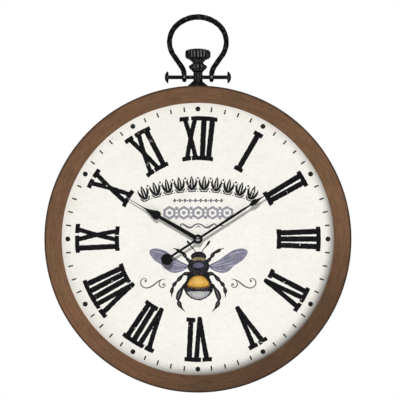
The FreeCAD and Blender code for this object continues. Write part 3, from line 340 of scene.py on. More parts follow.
def paper_material():
    """Off-white printed face with faint age spots and a dry, slightly rough skin."""
    w = Nodes("aged_dial_face")
    big = w.noise(9.0, 4.0, 0.6, 0.4)
    mid = w.noise(55.0, 5.0, 0.65, 0.5)
    fine = w.noise(420.0, 4.0, 0.7, 0.2)
    spot = w.voro(120.0)
    spot_pick = w.voro(120.0, out="Color")
    sep = w.new("ShaderNodeSeparateColor")
    w.set(sep, "Color", spot_pick)
    spot2 = w.voro(46.0)
    sep2 = w.new("ShaderNodeSeparateColor")
    w.set(sep2, "Color", w.voro(46.0, out="Color"))
    weave = w.noise(1500.0, 2.0, 0.6, 0.0, w.map((1.0, 1.0, 0.22), (0, math.radians(45), 0)))
    weave2 = w.noise(1500.0, 2.0, 0.6, 0.0, w.map((1.0, 1.0, 0.22), (0, math.radians(-45), 0)))
    mott = w.noise(210.0, 4.0, 0.7, 0.3)
    col = w.mix(w.range(big, 0.35, 0.68), srgb(243, 241, 236), srgb(238, 236, 229))
    col = w.mix(w.range(mid, 0.52, 0.74, 0.0, 0.40), col, srgb(228, 225, 217))
    col = w.mix(w.range(mott, 0.50, 0.68, 0.0, 0.40), col, srgb(222, 219, 211))
    col = w.mix(w.range(mott, 0.30, 0.44, 0.30, 0.0), col, srgb(250, 249, 246))
    col = w.mix(w.range(fine, 0.54, 0.72, 0.0, 0.55), col, srgb(221, 217, 209))
    col = w.mix(w.range(weave, 0.52, 0.70, 0.0, 0.30), col, srgb(218, 215, 207))
    col = w.mix(w.range(weave2, 0.52, 0.70, 0.0, 0.30), col, srgb(218, 215, 207))
    grains = w.math("MULTIPLY", w.range(spot, 0.06, 0.16, 1.0, 0.0),
                    w.range(sep.outputs[0], 0.80, 0.86, 0.0, 0.30))
    col = w.mix(grains, col, srgb(176, 166, 152))
    grains2 = w.math("MULTIPLY", w.range(spot2, 0.02, 0.09, 1.0, 0.0),
                     w.range(sep2.outputs[1], 0.84, 0.90, 0.0, 0.32))
    col = w.mix(grains2, col, srgb(168, 158, 148))
    # painted shadow of the ring: the face greys towards the rim, most at the lower right
    x, y, z = w.xyz()
    zc = w.math("SUBTRACT", z, FZ)
    r = w.math("SQRT", w.math("ADD", w.math("MULTIPLY", x, x), w.math("MULTIPLY", zc, zc)))
    turn = w.range(w.math("ARCTAN2", x, zc), -math.pi, math.pi)
    rim_shadow_amount = w.ramp(turn, *RIM_PAINTED_SHADOW)
    rim = w.range(r, 0.2050, 0.2215, 0.0, 1.0)
    col = w.mix(w.math("MULTIPLY", w.math("MULTIPLY", rim, rim), rim_shadow_amount), col, srgb(92, 88, 82))
    w.p("Base Color", col)
    w.p("Roughness", w.range(mid, 0.3, 0.7, 0.66, 0.8))
    w.b.inputs["Specular IOR Level"].default_value = 0.1
    w.p("Normal", w.bump(w.mix(0.4, fine, mid), 0.12, 0.0003))
    return w.m


def ink_material(name, base, wear_and_highlight, wear=0.35, scale=330.0, rough=0.66, spec=0.1):
    w = Nodes(name)
    n1 = w.noise(scale, 5.0, 0.72, 0.3)
    n2 = w.noise(scale * 5.0, 3.0, 0.6, 0.1)
    col = w.mix(w.range(n1, 0.50, 0.72, 0.0, wear), base, wear_and_highlight)
    col = w.mix(w.range(n2, 0.60, 0.76, 0.0, wear * 0.8), col, wear_and_highlight)
    w.p("Base Color", col)
    w.p("Roughness", w.range(n1, 0.3, 0.7, rough * 0.9, rough * 1.15))
    w.b.inputs["Specular IOR Level"].default_value = spec
    w.p("Normal", w.bump(n2, 0.15, 0.0002))
    return w.m


def battery_material():
    """A plain cell: a dark green sleeve with a copper-coloured band, no lettering."""
    w = Nodes("battery_sleeve")
    x, y, z = w.xyz()
    n1 = w.noise(700.0, 3.0, 0.6)
    band = w.range(x, 0.0105, 0.0107, 0.0, 1.0)
    tip = w.range(x, 0.0222, 0.0224, 0.0, 1.0)
    col = w.mix(band, srgb(28, 62, 46), srgb(176, 112, 62))
    col = w.mix(tip, col, srgb(190, 190, 188))
    col = w.mix(w.range(n1, 0.5, 0.75, 0.0, 0.2), col, srgb(20, 26, 24))
    w.p("Base Color", col)
    w.b.inputs["Metallic"].default_value = 0.5
    w.p("Roughness", w.range(n1, 0.3, 0.7, 0.24, 0.36))
    w.p("Normal", w.bump(n1, 0.05, 0.0001))
    return w.m


def winding_material():
    w = Nodes("copper_winding")
    wave = w.new("ShaderNodeTexWave", wave_type="BANDS", bands_direction="X")
    w.set(wave, "Vector", w.pos)
    wave.inputs["Scale"].default_value = 2600.0
    wave.inputs["Distortion"].default_value = 0.4
    n1 = w.noise(500.0, 3.0, 0.6)
    col = w.mix(w.range(wave.outputs["Fac"], 0.2, 0.8), srgb(120, 58, 26), srgb(201, 118, 64))
    col = w.mix(w.range(n1, 0.5, 0.75, 0.0, 0.3), col, srgb(92, 44, 22))
    w.p("Base Color", col)
    w.b.inputs["Metallic"].default_value = 0.85
    w.b.inputs["Roughness"].default_value = 0.3
    w.p("Normal", w.bump(wave.outputs["Fac"], 0.4, 0.00008))
    return w.m


MAT = {
    "ring_wood": wood_material(),
    "dial_face": board_material(),
    "black_iron": iron_material(),
    "hand_black": ink_material("hand_paint", srgb(11, 11, 12), srgb(30, 30, 32), 0.6, 520.0, 0.5, 0.12),
    "bright_chrome": metal_material("bright_chrome", srgb(226, 227, 230), srgb(168, 170, 176), 0.14, 700.0),
    "zinc_steel": metal_material("zinc_steel", srgb(196, 198, 198), srgb(138, 140, 142), 0.3, 1100.0,
                                 (1.0, 1.0, 0.2)),
    "movement_brass": metal_material("turned_brass", srgb(214, 178, 98), srgb(160, 122, 58), 0.26, 1400.0),
    "case_plastic": plastic_material("case_plastic", srgb(38, 38, 40), srgb(28, 28, 30), 0.48, 3200.0, 0.35),
    "gear_plastic": plastic_material("gear_acetal", srgb(232, 228, 216), srgb(214, 208, 192), 0.34, 5200.0, 0.1),
    "plate_plastic": plastic_material("plate_plastic", srgb(112, 116, 120), srgb(92, 96, 100), 0.5, 3600.0, 0.2),
    "knob_plastic": plastic_material("knob_plastic", srgb(206, 202, 192), srgb(184, 178, 166), 0.42, 4200.0, 0.2),
    "rubber_black": plastic_material("rubber", srgb(26, 26, 26), srgb(36, 35, 34), 0.78, 2600.0, 0.4, 0.2),
    "copper_wire": winding_material(),
    "board_green": plastic_material("solder_mask", srgb(30, 92, 52), srgb(22, 72, 42), 0.3, 2600.0, 0.12, 0.5),
    "epoxy_black": plastic_material("epoxy_drop", srgb(18, 18, 19), srgb(26, 26, 28), 0.2, 2200.0, 0.08, 0.5),
    "battery_wrap": battery_material(),
    "magnet_grey": metal_material("magnet_grey", srgb(112, 114, 118), srgb(78, 80, 84), 0.42, 1600.0),
}
SLOT_OF = {s["node"]: s["material_slot"] for s in frame["record"]["subparts"]}
for name, o in NODES.items():
    m = MAT[SLOT_OF[name]]
    o.data.materials.clear()
    o.data.materials.append(m)


# ---------------------------------------------------------------- drawing
def value_noise(x, z, scale, seed):
    """Smooth noise from 0 to 1 on a seeded table."""
    t = np.random.RandomState(seed).rand(97, 97)
    a, b = np.asarray(x) / scale + 500.0, np.asarray(z) / scale + 500.0
    i, j = np.floor(a).astype(int), np.floor(b).astype(int)
    u, v = a - i, b - j
    u, v = u * u * (3 - 2 * u), v * v * (3 - 2 * v)
    i0, i1, j0, j1 = i % 97, (i + 1) % 97, j % 97, (j + 1) % 97
    return ((t[j0, i0] * (1 - u) + t[j0, i1] * u) * (1 - v)
            + (t[j1, i0] * (1 - u) + t[j1, i1] * u) * v)


def smooth_line(pts, closed=False, n=8):
    """A Catmull-Rom line through the points; each point may carry widths."""
    p = [np.array(q, dtype=float) for q in pts]
    m = len(p)
    out = []
    spans = m if closed else m - 1
    for i in range(spans):
        if closed:
            a, b, c, d = p[(i - 1) % m], p[i], p[(i + 1) % m], p[(i + 2) % m]
        else:
            b, c = p[i], p[i + 1]
            a = p[i - 1] if i > 0 else 2 * b - c
            d = p[i + 2] if i + 2 < m else 2 * c - b
        for k in range(n):
            t = k / n
            out.append(0.5 * ((2 * b) + (c - a) * t + (2 * a - 5 * b + 4 * c - d) * t * t
                              + (3 * b - a - 3 * c + d) * t ** 3))
    if not closed:
        out.append(p[-1])
    return out


class Art:
    """A drawing held as signed distance on a grid: below zero is ink."""

    def __init__(self, x0, x1, z0, z1, h):
        self.h = h
        self.xs = np.arange(x0, x1 + h, h)
        self.zs = np.arange(z0, z1 + h, h)
        self.X, self.Z = np.meshgrid(self.xs, self.zs)
        self.F = np.full(self.X.shape, 50.0)

    def win(self, xa, xb, za, zb):
        h = self.h
        i0 = max(0, int((za - self.zs[0]) / h) - 1)
        i1 = min(len(self.zs), int((zb - self.zs[0]) / h) + 3)
        j0 = max(0, int((xa - self.xs[0]) / h) - 1)
        j1 = min(len(self.xs), int((xb - self.xs[0]) / h) + 3)
        return (slice(i0, max(i0, i1)), slice(j0, max(j0, j1)))

    def put(self, w, d, cut=False):
        if cut:
            self.F[w] = np.maximum(self.F[w], -d)
        else:
            self.F[w] = np.minimum(self.F[w], d)

    def seg(self, a, b, ra, rb, cut=False):
        pad = max(ra, rb) + 1.5
        w = self.win(min(a[0], b[0]) - pad, max(a[0], b[0]) + pad,
                     min(a[1], b[1]) - pad, max(a[1], b[1]) + pad)
        X, Z = self.X[w], self.Z[w]
        if X.size == 0:
            return
        dx, dz = b[0] - a[0], b[1] - a[1]
        L2 = max(dx * dx + dz * dz, 1e-9)
        t = np.clip(((X - a[0]) * dx + (Z - a[1]) * dz) / L2, 0, 1)
        d = np.hypot(X - a[0] - t * dx, Z - a[1] - t * dz) - (ra + (rb - ra) * t)
        self.put(w, d, cut)

    def line(self, pts, n=8, cut=False, smooth=True, scale=1.0):
        """A stroke through (x, z, half width) points."""
        q = smooth_line(pts, False, n) if smooth else [np.array(p, float) for p in pts]
        for a, b in zip(q[:-1], q[1:]):
            self.seg(a, b, max(a[2], 0.05) * scale, max(b[2], 0.05) * scale, cut)

    def disc(self, c, r, cut=False):
        self.seg(c, (c[0] + 1e-4, c[1]), r, r, cut)

    def oval(self, c, a, b, deg=0.0, cut=False):
        m = max(a, b) + 1.5
        w = self.win(c[0] - m, c[0] + m, c[1] - m, c[1] + m)
        X, Z = self.X[w] - c[0], self.Z[w] - c[1]
        t = math.radians(deg)
        u, v = X * math.cos(t) + Z * math.sin(t), -X * math.sin(t) + Z * math.cos(t)
        k0 = np.hypot(u / a, v / b)
        k1 = np.hypot(u / (a * a), v / (b * b)) + 1e-9
        self.put(w, k0 * (k0 - 1.0) / k1, cut)

    def poly(self, pts, cut=False, grow=0.0):
        P = np.array([[p[0], p[1]] for p in pts], dtype=float)
        Q = np.roll(P, -1, axis=0)
        m = 1.5 + abs(grow)
        w = self.win(P[:, 0].min() - m, P[:, 0].max() + m, P[:, 1].min() - m, P[:, 1].max() + m)
        X, Z = self.X[w], self.Z[w]
        if X.size == 0:
            return
        d2 = np.full(X.shape, 1e9)
        inside = np.zeros(X.shape, dtype=bool)
        for (ax, az), (bx, bz) in zip(P, Q):
            dx, dz = bx - ax, bz - az
            L2 = max(dx * dx + dz * dz, 1e-9)
            t = np.clip(((X - ax) * dx + (Z - az) * dz) / L2, 0, 1)
            d2 = np.minimum(d2, (X - ax - t * dx) ** 2 + (Z - az - t * dz) ** 2)
            if az != bz:
                inside ^= ((az > Z) != (bz > Z)) & (X < (bx - ax) * (Z - az) / (bz - az) + ax)
        d = np.where(inside, -np.sqrt(d2), np.sqrt(d2)) - grow
        self.put(w, d, cut)

    def loops(self, tol=0.03, least=0.12):
        """Closed outlines of the ink, ink on the left of each."""
        F = np.pad(self.F, 1, constant_values=5.0)
        F = np.where(np.abs(F) < 1e-6, 1e-6, F)
        h = self.h
        x0, z0 = self.xs[0] - h, self.zs[0] - h
        ny, nx = F.shape
        ins = F < 0
        a, b, c, d = ins[:-1, :-1], ins[:-1, 1:], ins[1:, 1:], ins[1:, :-1]
        case = a * 1 + b * 2 + c * 4 + d * 8
        ii, jj = np.nonzero((case > 0) & (case < 15))
        N = ny * nx
        nxt = {}
        # sides of a cell: 0 bottom, 1 right, 2 top, 3 left
        table = {1: [(0, 3)], 2: [(1, 0)], 3: [(1, 3)], 4: [(2, 1)], 6: [(2, 0)], 7: [(2, 3)],
                 8: [(3, 2)], 9: [(0, 2)], 11: [(1, 2)], 12: [(3, 1)], 13: [(0, 1)], 14: [(3, 0)],
                 5: [(0, 3), (2, 1)], 10: [(1, 0), (3, 2)]}
        cs = case[ii, jj]
        for i, j, k in zip(ii.tolist(), jj.tolist(), cs.tolist()):
            ids = (i * nx + j, N + i * nx + j + 1, (i + 1) * nx + j, N + i * nx + j)
            for s, e in table[k]:
                nxt[ids[s]] = ids[e]

        def spot(e):
            if e < N:
                i, j = divmod(e, nx)
                f0, f1 = F[i, j], F[i, j + 1]
                t = f0 / (f0 - f1)
                return (x0 + (j + t) * h, z0 + i * h)
            i, j = divmod(e - N, nx)
            f0, f1 = F[i, j], F[i + 1, j]
            t = f0 / (f0 - f1)
            return (x0 + j * h, z0 + (i + t) * h)

        out = []
        while nxt:
            start, cur = nxt.popitem()
            run = [start]
            while cur != start:
                run.append(cur)
                cur = nxt.pop(cur)
            P = np.array([spot(e) for e in run])
            area = 0.5 * np.sum(P[:, 0] * np.roll(P[:, 1], -1) - np.roll(P[:, 0], -1) * P[:, 1])
            if abs(area) < least or len(P) < 4:
                continue
            out.append(thin_out(P, tol))
        return [q for q in out if len(q) >= 3]


def thin_out(P, tol):
    """Drops points of a closed line that lie within tol of it."""
    n = len(P)
    k = int(np.argmax(np.hypot(P[:, 0] - P[0, 0], P[:, 1] - P[0, 1])))
    keep = np.zeros(n + 1, dtype=bool)
    Q = np.vstack([P, P[:1]])
    keep[0] = keep[k] = keep[n] = True
    stack = [(0, k), (k, n)]
    while stack:
        i, j = stack.pop()
        if j - i < 2:
            continue
        ax, az = Q[i]
        dx, dz = Q[j] - Q[i]
        L = math.hypot(dx, dz)
        seg = Q[i + 1:j]
        if L < 1e-9:
            dist = np.hypot(seg[:, 0] - ax, seg[:, 1] - az)
        else:
            dist = np.abs((seg[:, 0] - ax) * dz - (seg[:, 1] - az) * dx) / L
        m = int(np.argmax(dist))
        if dist[m] > tol:
            keep[i + 1 + m] = True
            stack.append((i, i + 1 + m))
            stack.append((i + 1 + m, j))
    return Q[:-1][keep[:-1]]


def turn_loops(loops, deg):
    """Loops turned clockwise about the dial's centre."""
    t = math.radians(deg)
    c, s = math.cos(t), math.sin(t)
    return [np.column_stack([q[:, 0] * c + q[:, 1] * s, -q[:, 0] * s + q[:, 1] * c]) for q in loops]


def fill(loops):
    """Triangles of the area inside closed loops, by the even-odd rule."""
    verts, edges = [], []
    for q in loops:
        base = len(verts)
        verts += [Vector((float(x), float(z))) for x, z in q]
        n = len(q)
        edges += [(base + i, base + (i + 1) % n) for i in range(n)]
    vo, _e, fo, _a, _b, _c = geometry.delaunay_2d_cdt(verts, edges, [], 0, 1e-5)
    V = np.array([(v.x, v.y) for v in vo])
    T = np.array([f for f in fo if len(f) == 3], dtype=int)
    C = V[T].mean(axis=1)
    P = np.vstack(loops)
    Q = np.vstack([np.roll(q, -1, axis=0) for q in loops])
    par = np.zeros(len(C), dtype=int)
    for s in range(0, len(C), 2000):
        cx, cz = C[s:s + 2000, 0][:, None], C[s:s + 2000, 1][:, None]
        z1, z2, x1, x2 = P[:, 1][None], Q[:, 1][None], P[:, 0][None], Q[:, 0][None]
        span = np.where(np.abs(z2 - z1) < 1e-12, 1e-12, z2 - z1)
        hit = ((z1 > cz) != (z2 > cz)) & (cx < (x2 - x1) * (cz - z1) / span + x1)
        par[s:s + 2000] = hit.sum(axis=1)
    T = T[par % 2 == 1]
    A = V[T]
    area = ((A[:, 1, 0] - A[:, 0, 0]) * (A[:, 2, 1] - A[:, 0, 1])
            - (A[:, 1, 1] - A[:, 0, 1]) * (A[:, 2, 0] - A[:, 0, 0]))
    T[area < 0] = T[area < 0][:, ::-1]
    return V, T


def slab_mesh(parts, y_front, y_back):
    """One closed mesh from (V, T) drawings, between two depths in mm."""
    verts, faces = [], []
    for V, T in parts:
        used = np.unique(T)
        re = {int(v): i for i, v in enumerate(used)}
        base = len(verts)
        n = len(used)
        for y in (y_front, y_back):
            for v in used:
                verts.append((V[v, 0] / 1000.0, y / 1000.0, V[v, 1] / 1000.0 + FZ))
        seen = {}
        for a, b, c in T.tolist():
            a, b, c = re[a], re[b], re[c]
            faces.append((base + a, base + b, base + c))
            faces.append((base + n + c, base + n + b, base + n + a))
            for e in ((a, b), (b, c), (c, a)):
                seen[e] = True
        for a, b in seen:
            if (b, a) not in seen:
                faces.append((base + b, base + a, base + n + a, base + n + b))
    return verts, faces


def piece(name, verts, faces, material, body, slot, smooth=False):
    me = bpy.data.meshes.new(name)
    me.from_pydata(verts, [], faces)
    me.validate()
    me.update()
    if smooth:
        me.shade_smooth()
    o = bpy.data.objects.new(name, me)
    scene.collection.objects.link(o)
    me.materials.append(material)
    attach(o, body)
    return o


def print_piece(name, loops, y_front, y_back, material, slot="dial_face"):
    parts = []
    for group in loops:
        if group:
            parts.append(fill(group))
    v, f = slab_mesh(parts, y_front, y_back)
    return piece(name, v, f, material, "clock_frame", slot)


# Sheets of print lie on each other, each a few hundredths of a millimetre high.
FACE = DIAL - 0.20                 # front of the printed face
LAYER = [(FACE - 0.05 * (i + 1), FACE - 0.05 * i - 0.004) for i in range(8)]
SCALE = 1.0012                     # drawing scale of the numerals' ring

# ---------------------------------------------------------------- printed face
def ring_mesh(profile, count):
    """A turned mesh about the dial's axis from closed (radius, y) points, mm."""
    verts, faces = [], []
    m = len(profile)
    for k in range(count):
        t = 2 * math.pi * k / count
        for r, y in profile:
            verts.append((r * math.sin(t) / 1000.0, y / 1000.0, r * math.cos(t) / 1000.0 + FZ))
    for k in range(count):
        k2 = (k + 1) % count
        for i in range(m):
            j = (i + 1) % m
            faces.append((k * m + i, k2 * m + i, k2 * m + j, k * m + j))
    return verts, faces


v, f = ring_mesh([(7.35, DIAL), (7.35, FACE), (221.75, FACE), (221.75, DIAL)], 256)
paper = piece("dial_sheet", v, f, paper_material(), "clock_frame", "dial_face")

# ---------------------------------------------------------------- numerals
INNER, OUTER = 128.6, 200.0


def widen(R):
    return 1.0 + 0.25 * (R - 164.3) / 71.4


def glyph_posts(word):
    """Strokes as (offset at the inner end, offset at the outer end) and slabs as
    (offset, half width, outer end?), laid out clockwise from zero."""
    strokes, slabs, cursor, prev = [], [], 0.0, None
    for ch in word:
        if ch == "I":
            step = {None: 8.4, "I": 11.2, "X": 11.65, "V": 10.4}[prev]
            u = cursor + step
            # the posts of the longest word lean apart a little
            lean = {1: 1.0, 2: 2.4}[len([q for q in strokes if q[2] == "I"]) + 1] if word == "XII" else 0.0
            strokes.append((u, u + lean, "I"))
            foot = {"II": 7.4, "III": 6.4, "VII": 7.2, "VIII": 7.2}.get(word, 7.8)
            slabs += [(u + lean, 8.0 if word == "I" else 7.7, True), (u, foot, False)]
            cursor = u
        elif ch == "X":
            step = {None: 7.4, "I": 11.65, "X": 13.6}[prev]
            u = cursor + step
            strokes += [(u + 17.2, u, "X"), (u - 0.4, u + 17.2, "X")]
            slabs += [(u, 7.7, True), (u + 17.2, 7.7, True), (u - 0.4, 7.5, False), (u + 17.2, 7.5, False)]
            cursor = u + 16.7
        else:
            step = {None: 7.6, "I": 9.6}[prev]
            u = cursor + step
            t = {"IV": -1.6, "V": 0.0, "VI": 2.2, "VII": 4.3, "VIII": 4.3}[word]
            strokes += [(u + 7.6 + t, u, "V"), (u + 8.6 + t, u + 16.2, "V")]
            slabs += [(u, 7.9, True), (u + 16.2, 7.9, True)]
            cursor = u + 16.0
        prev = ch
    ends = {"I": 8.4, "X": 6.9, "V": 7.1}
    total = cursor + ends[prev]
    mid = total / 2.0
    return ([(a - mid, b - mid, k) for a, b, k in strokes],
            [(u - mid, w, o) for u, w, o in slabs], word)


def numeral(word, seed):
    strokes, slabs, _ = glyph_posts(word)
    half = 50.0
    art = Art(-half, half, 118.0, 204.0, 0.32)
    R = np.hypot(art.X, art.Z)
    S = widen(R)
    U = np.arctan2(art.X, art.Z) * R / S
    f = (R - INNER) / (OUTER - INNER)
    for a, b, kind in strokes:
        hw = {"I": 4.3 + 0.2 * f, "X": 3.65 + 0.1 * f, "V": 3.35 + 1.0 * f}[kind]
        line = a + (b - a) * f
        slope = math.cos(math.atan2(abs(b - a) * 1.0, OUTER - INNER))
        is_v = kind == "V"
        lo_r = INNER - (2.2 if is_v else 0.0)
        d = np.abs(U - line) * S * slope - hw
        cap = np.maximum(R - OUTER, lo_r - R)
        dd = np.minimum(np.maximum(d, cap), 0) + np.hypot(np.maximum(d, 0), np.maximum(cap, 0))
        if is_v:
            dd = np.where(R < lo_r + 4.0,
                          np.maximum(dd, np.hypot(np.maximum(d + 2.4, 0), np.maximum(lo_r + 2.4 - R, 0)) - 2.4),
                          dd)
        art.F = np.minimum(art.F, dd)
    for u, w, outer in slabs:
        rm = OUTER - 3.45 if outer else INNER + 3.45
        c = 1.0
        dx = np.abs(U - u) * S - w * (1.0 if outer else 0.97) + c
        dr = np.abs(R - rm) - 3.6 + c
        d = np.minimum(np.maximum(dx, dr), 0) + np.hypot(np.maximum(dx, 0), np.maximum(dr, 0)) - c
        art.F = np.minimum(art.F, d)
    # hand-cut wobble of the edges, and places where the ink has rubbed away
    X, Z = art.X + seed * 131.0, art.Z + seed * 57.0
    art.F = art.F + 0.55 * (value_noise(X, Z, 2.6, 11) - 0.5) + 0.35 * (value_noise(X, Z, 1.1, 12) - 0.5)
    n = 0.6 * value_noise(X, Z, 3.4, 21) + 0.4 * value_noise(X, Z, 1.3, 22)
    region = value_noise(X, Z, 17.0, 23)
    chip = (n - (0.955 - 0.08 * region)) * 9.0
    art.F = np.maximum(art.F, chip)
    th = 0.9 + 0.4 * (seed % 3)
    ca, sa = math.cos(th), math.sin(th)
    s = np.abs(value_noise(X * ca + Z * sa, (Z * ca - X * sa) * 0.12, 5.0, 31) - 0.5)
    gate = value_noise(X, Z, 12.0, 33)
    scratch = (0.009 - s) * 12.0 + np.minimum(gate - 0.86, 0.0) * 6.0
    art.F = np.maximum(art.F, scratch)
    return art.loops(0.03, 0.06)


WORDS = ["XII", "I", "II", "III", "IV", "V", "VI", "VII", "VIII", "IX", "X", "XI"]
groups = []
for k, word in enumerate(WORDS):
    loops = [q * SCALE for q in numeral(word, k + 1)]
    groups.append(turn_loops(loops, 30.0 * k))
numeral_ink = ink_material("numeral_ink", srgb(15, 14, 17), srgb(66, 64, 66), 0.42, 300.0, 0.72, 0.06)
print_piece("dial_numerals", groups, *LAYER[0], numeral_ink)

# ---------------------------------------------------------------- minute track
track = []
for k in range(60):
    art = Art(-6.0, 6.0, 205.0, 219.0, 0.25)
    if k % 5 == 0:
        art.disc((0.0, 211.7), 4.05)
    else:
        rs = np.random.RandomState(900 + k)
        top, bot = 214.6 + rs.uniform(-0.5, 0.5), 208.8 + rs.uniform(-0.5, 0.5)
        art.seg((rs.uniform(-0.15, 0.15), bot), (rs.uniform(-0.15, 0.15), top), 1.25, 1.15)
    art.F += 0.3 * (value_noise(art.X + 31.0 * k, art.Z, 1.1, 41) - 0.5)
    track.append(turn_loops([q * SCALE for q in art.loops(0.02, 0.05)], 6.0 * k))
print_piece("dial_minute_track", track, *LAYER[0],
            ink_material("track_ink", srgb(24, 23, 26), srgb(100, 97, 96), 0.45, 420.0, 0.7, 0.08))

# ---------------------------------------------------------------- arched border
INK_BLACK = ink_material("border_ink", srgb(24, 24, 26), srgb(86, 85, 88), 0.35, 340.0)
INK_GREY = ink_material("caption_ink", srgb(58, 57, 60), srgb(130, 128, 126), 0.4, 420.0)
INK_LILAC = ink_material("comb_ink", srgb(142, 140, 150), srgb(190, 188, 194), 0.5, 300.0)


def arc_frame(cz, R, deg):
    """Local (along, out) coordinates on an arch round (0, cz)."""
    t = math.radians(deg)

    def put(p):
        a = t + p[0] / R
        r = R + p[1]
        return (r * math.sin(a), cz + r * math.cos(a)) + tuple(p[2:])
    return put


ARCH_Z, ARCH_R = -163.9, 254.2
leaf_side = [(0.0, 12.9), (1.5, 10.0), (2.9, 6.2), (3.7, 1.6), (3.5, -3.0), (2.3, -7.2), (0.9, -10.2)]
art = Art(-112, 112, 50, 112, 0.25)
PITCH = 20.1
for k in range(10):
    put = arc_frame(ARCH_Z, ARCH_R, math.degrees((k - 4.5) * PITCH / ARCH_R))
    outline = leaf_side + [(-x, z) for x, z in reversed(leaf_side)][:-1]
    art.poly([put(p) for p in smooth_line(outline, True, 4)])
    art.line([put(p) for p in ((0, 8.6, 0.2), (0.1, 2.0, 0.42), (0, -6.0, 0.25))], cut=True)
    for s in (-1, 1):
        art.line([put(p) for p in ((s * 0.9, -10.6, 0.7), (s * 4.2, -6.6, 1.9), (s * 6.6, -0.6, 2.15),
                                   (s * 7.4, 4.4, 1.3), (s * 6.3, 8.4, 0.35))])
        art.line([put(p) for p in ((s * 3.4, -10.9, 0.5), (s * 6.6, -9.4, 1.3), (s * 8.6, -6.2, 0.3))])
    art.line([put(p) for p in ((-6.4, -12.4, 0.75), (0, -12.7, 1.05), (6.4, -12.4, 0.75))])
for k in range(9):
    put = arc_frame(ARCH_Z, ARCH_R, math.degrees((k - 4.0) * PITCH / ARCH_R))
    art.disc(put((0, 9.2)), 1.75)
    art.disc(put((0, 3.4)), 1.05)
    art.disc(put((0, -12.2)), 1.15)
art.F = art.F + 0.28 * (value_noise(art.X, art.Z, 1.3, 51) - 0.5) + 0.09
n = 0.6 * value_noise(art.X, art.Z, 3.0, 52) + 0.4 * value_noise(art.X, art.Z, 1.2, 53)
art.F = np.maximum(art.F, (n - 0.865) * 9.0)
print_piece("dial_arched_border", [art.loops(0.03, 0.05)], *LAYER[0], INK_BLACK)

# a row of lozenges under the arch
art = Art(-44, 44, 56, 70, 0.2)
for k in range(19):
    x = 0.2 + (k - 9) * 4.25
    if k % 2 == 0:
        art.poly([(x - 2.7, 62.7), (x, 59.3), (x + 2.7, 62.7), (x, 66.1)])
        art.disc((x, 62.7), 0.5, cut=True)
    else:
        art.disc((x, 62.7), 1.15)
art.F = art.F + 0.25 * (value_noise(art.X, art.Z, 0.9, 55) - 0.5)
print_piece("dial_lozenge_row", [art.loops(0.02, 0.04)], *LAYER[0], INK_GREY)

# ---------------------------------------------------------------- honeycomb row
art = Art(-64, 66, 28, 58, 0.22)


def hexagon(cx, cz, r, flat=1.0):
    return [(cx + flat * r * math.sin(math.radians(60 * i)), cz + r * math.cos(math.radians(60 * i)))
            for i in range(6)]


CELLS = [0.6 + (i - 2) * 23.5 for i in range(5)]
for cx in CELLS:
    art.poly(hexagon(cx, 42.7, 11.4))
for cx in CELLS:
    art.poly(hexagon(cx, 42.7, 7.0), cut=True)
for i, cx in enumerate(CELLS):
    art.poly(hexagon(cx, 42.7, 3.4))
    if i < 4:
        m = cx + 11.75
        for s in (-1, 1):
            art.poly(hexagon(m, 42.7 + s * 7.4, 3.1))
        art.seg((cx + 9.3, 42.7), (cx + 14.2, 42.7), 1.0, 1.0)
art.F = art.F + 0.4 * (value_noise(art.X, art.Z, 1.4, 61) - 0.5)
n = 0.6 * value_noise(art.X, art.Z, 3.0, 62) + 0.4 * value_noise(art.X, art.Z, 1.2, 63)
art.F = np.maximum(art.F, (n - 0.83) * 8.0)
print_piece("dial_honeycomb_row", [art.loops(0.03, 0.05)], *LAYER[0], INK_LILAC)

# small scroll under the honeycomb
art = Art(-44, 50, 12, 32, 0.2)
sw = [(-27.5, 19.6, 0.3), (-28.6, 22.2, 0.6), (-25.6, 24.6, 0.8), (-21.4, 22.6, 1.0), (-16.2, 19.4, 1.2),
      (-10.6, 19.2, 1.0), (-5.6, 22.8, 0.8), (0.6, 24.6, 0.75), (6.8, 22.8, 0.8), (11.8, 19.2, 1.0),
      (17.4, 19.4, 1.2), (22.6, 22.6, 1.0), (26.8, 24.6, 0.8), (29.8, 22.2, 0.6), (28.7, 19.6, 0.3)]
art.line(sw, scale=1.45)
for s in (-1, 1):
    art.line([(0.6 + s * 4.0, 18.4, 0.3), (0.6 + s * 1.8, 20.4, 0.8), (0.6, 21.0, 0.9)])
    art.line([(0.6 + s * 35.0, 21.2, 0.3), (0.6 + s * 38.6, 22.0, 0.9), (0.6 + s * 42.0, 21.0, 0.2)])
    art.disc((0.6 + s * 32.4, 21.6), 0.8)
    art.disc((0.6 + s * 14.0, 23.6), 0.75)
art.F = art.F + 0.2 * (value_noise(art.X, art.Z, 1.0, 65) - 0.5)
print_piece("dial_small_scroll", [art.loops(0.02, 0.04)], *LAYER[0],
            ink_material("scroll_ink", srgb(98, 97, 104), srgb(156, 154, 158), 0.4, 420.0))

# ---------------------------------------------------------------- side scrolls
art = Art(-98, -48, -86, -60, 0.18)
art.line([(-84.73, -68.60, 1.1), (-84.08, -65.99, 0.7), (-87.18, -64.20, 0.62), (-91.25, -65.99, 0.75),
          (-93.37, -70.88, 0.95), (-91.74, -76.10, 0.95), (-87.18, -79.19, 0.9), (-81.64, -79.52, 1),
          (-75.12, -76.91, 1.15), (-69.25, -72.51, 1.2), (-64.04, -68.60, 1), (-59.15, -66.16, 0.7),
          (-53.28, -65.18, 0.35)])
art.disc((-85.22, -68.44), 1.75)
art.line([(-60.29, -67.30, 0.45), (-62.74, -70.56, 0.75), (-62.90, -75.12, 0.95), (-60.29, -78.38, 0.85),
          (-56.54, -78.87, 0.75), (-53.45, -76.26, 0.62), (-53.61, -73.49, 0.55), (-55.89, -72.35, 0.6)])
art.disc((-56.38, -74.47), 1.6)
art.F = art.F + 0.16 * (value_noise(art.X, art.Z, 1.0, 71) - 0.5)
side_scroll = art.loops(0.02, 0.05)
AX = 0.55
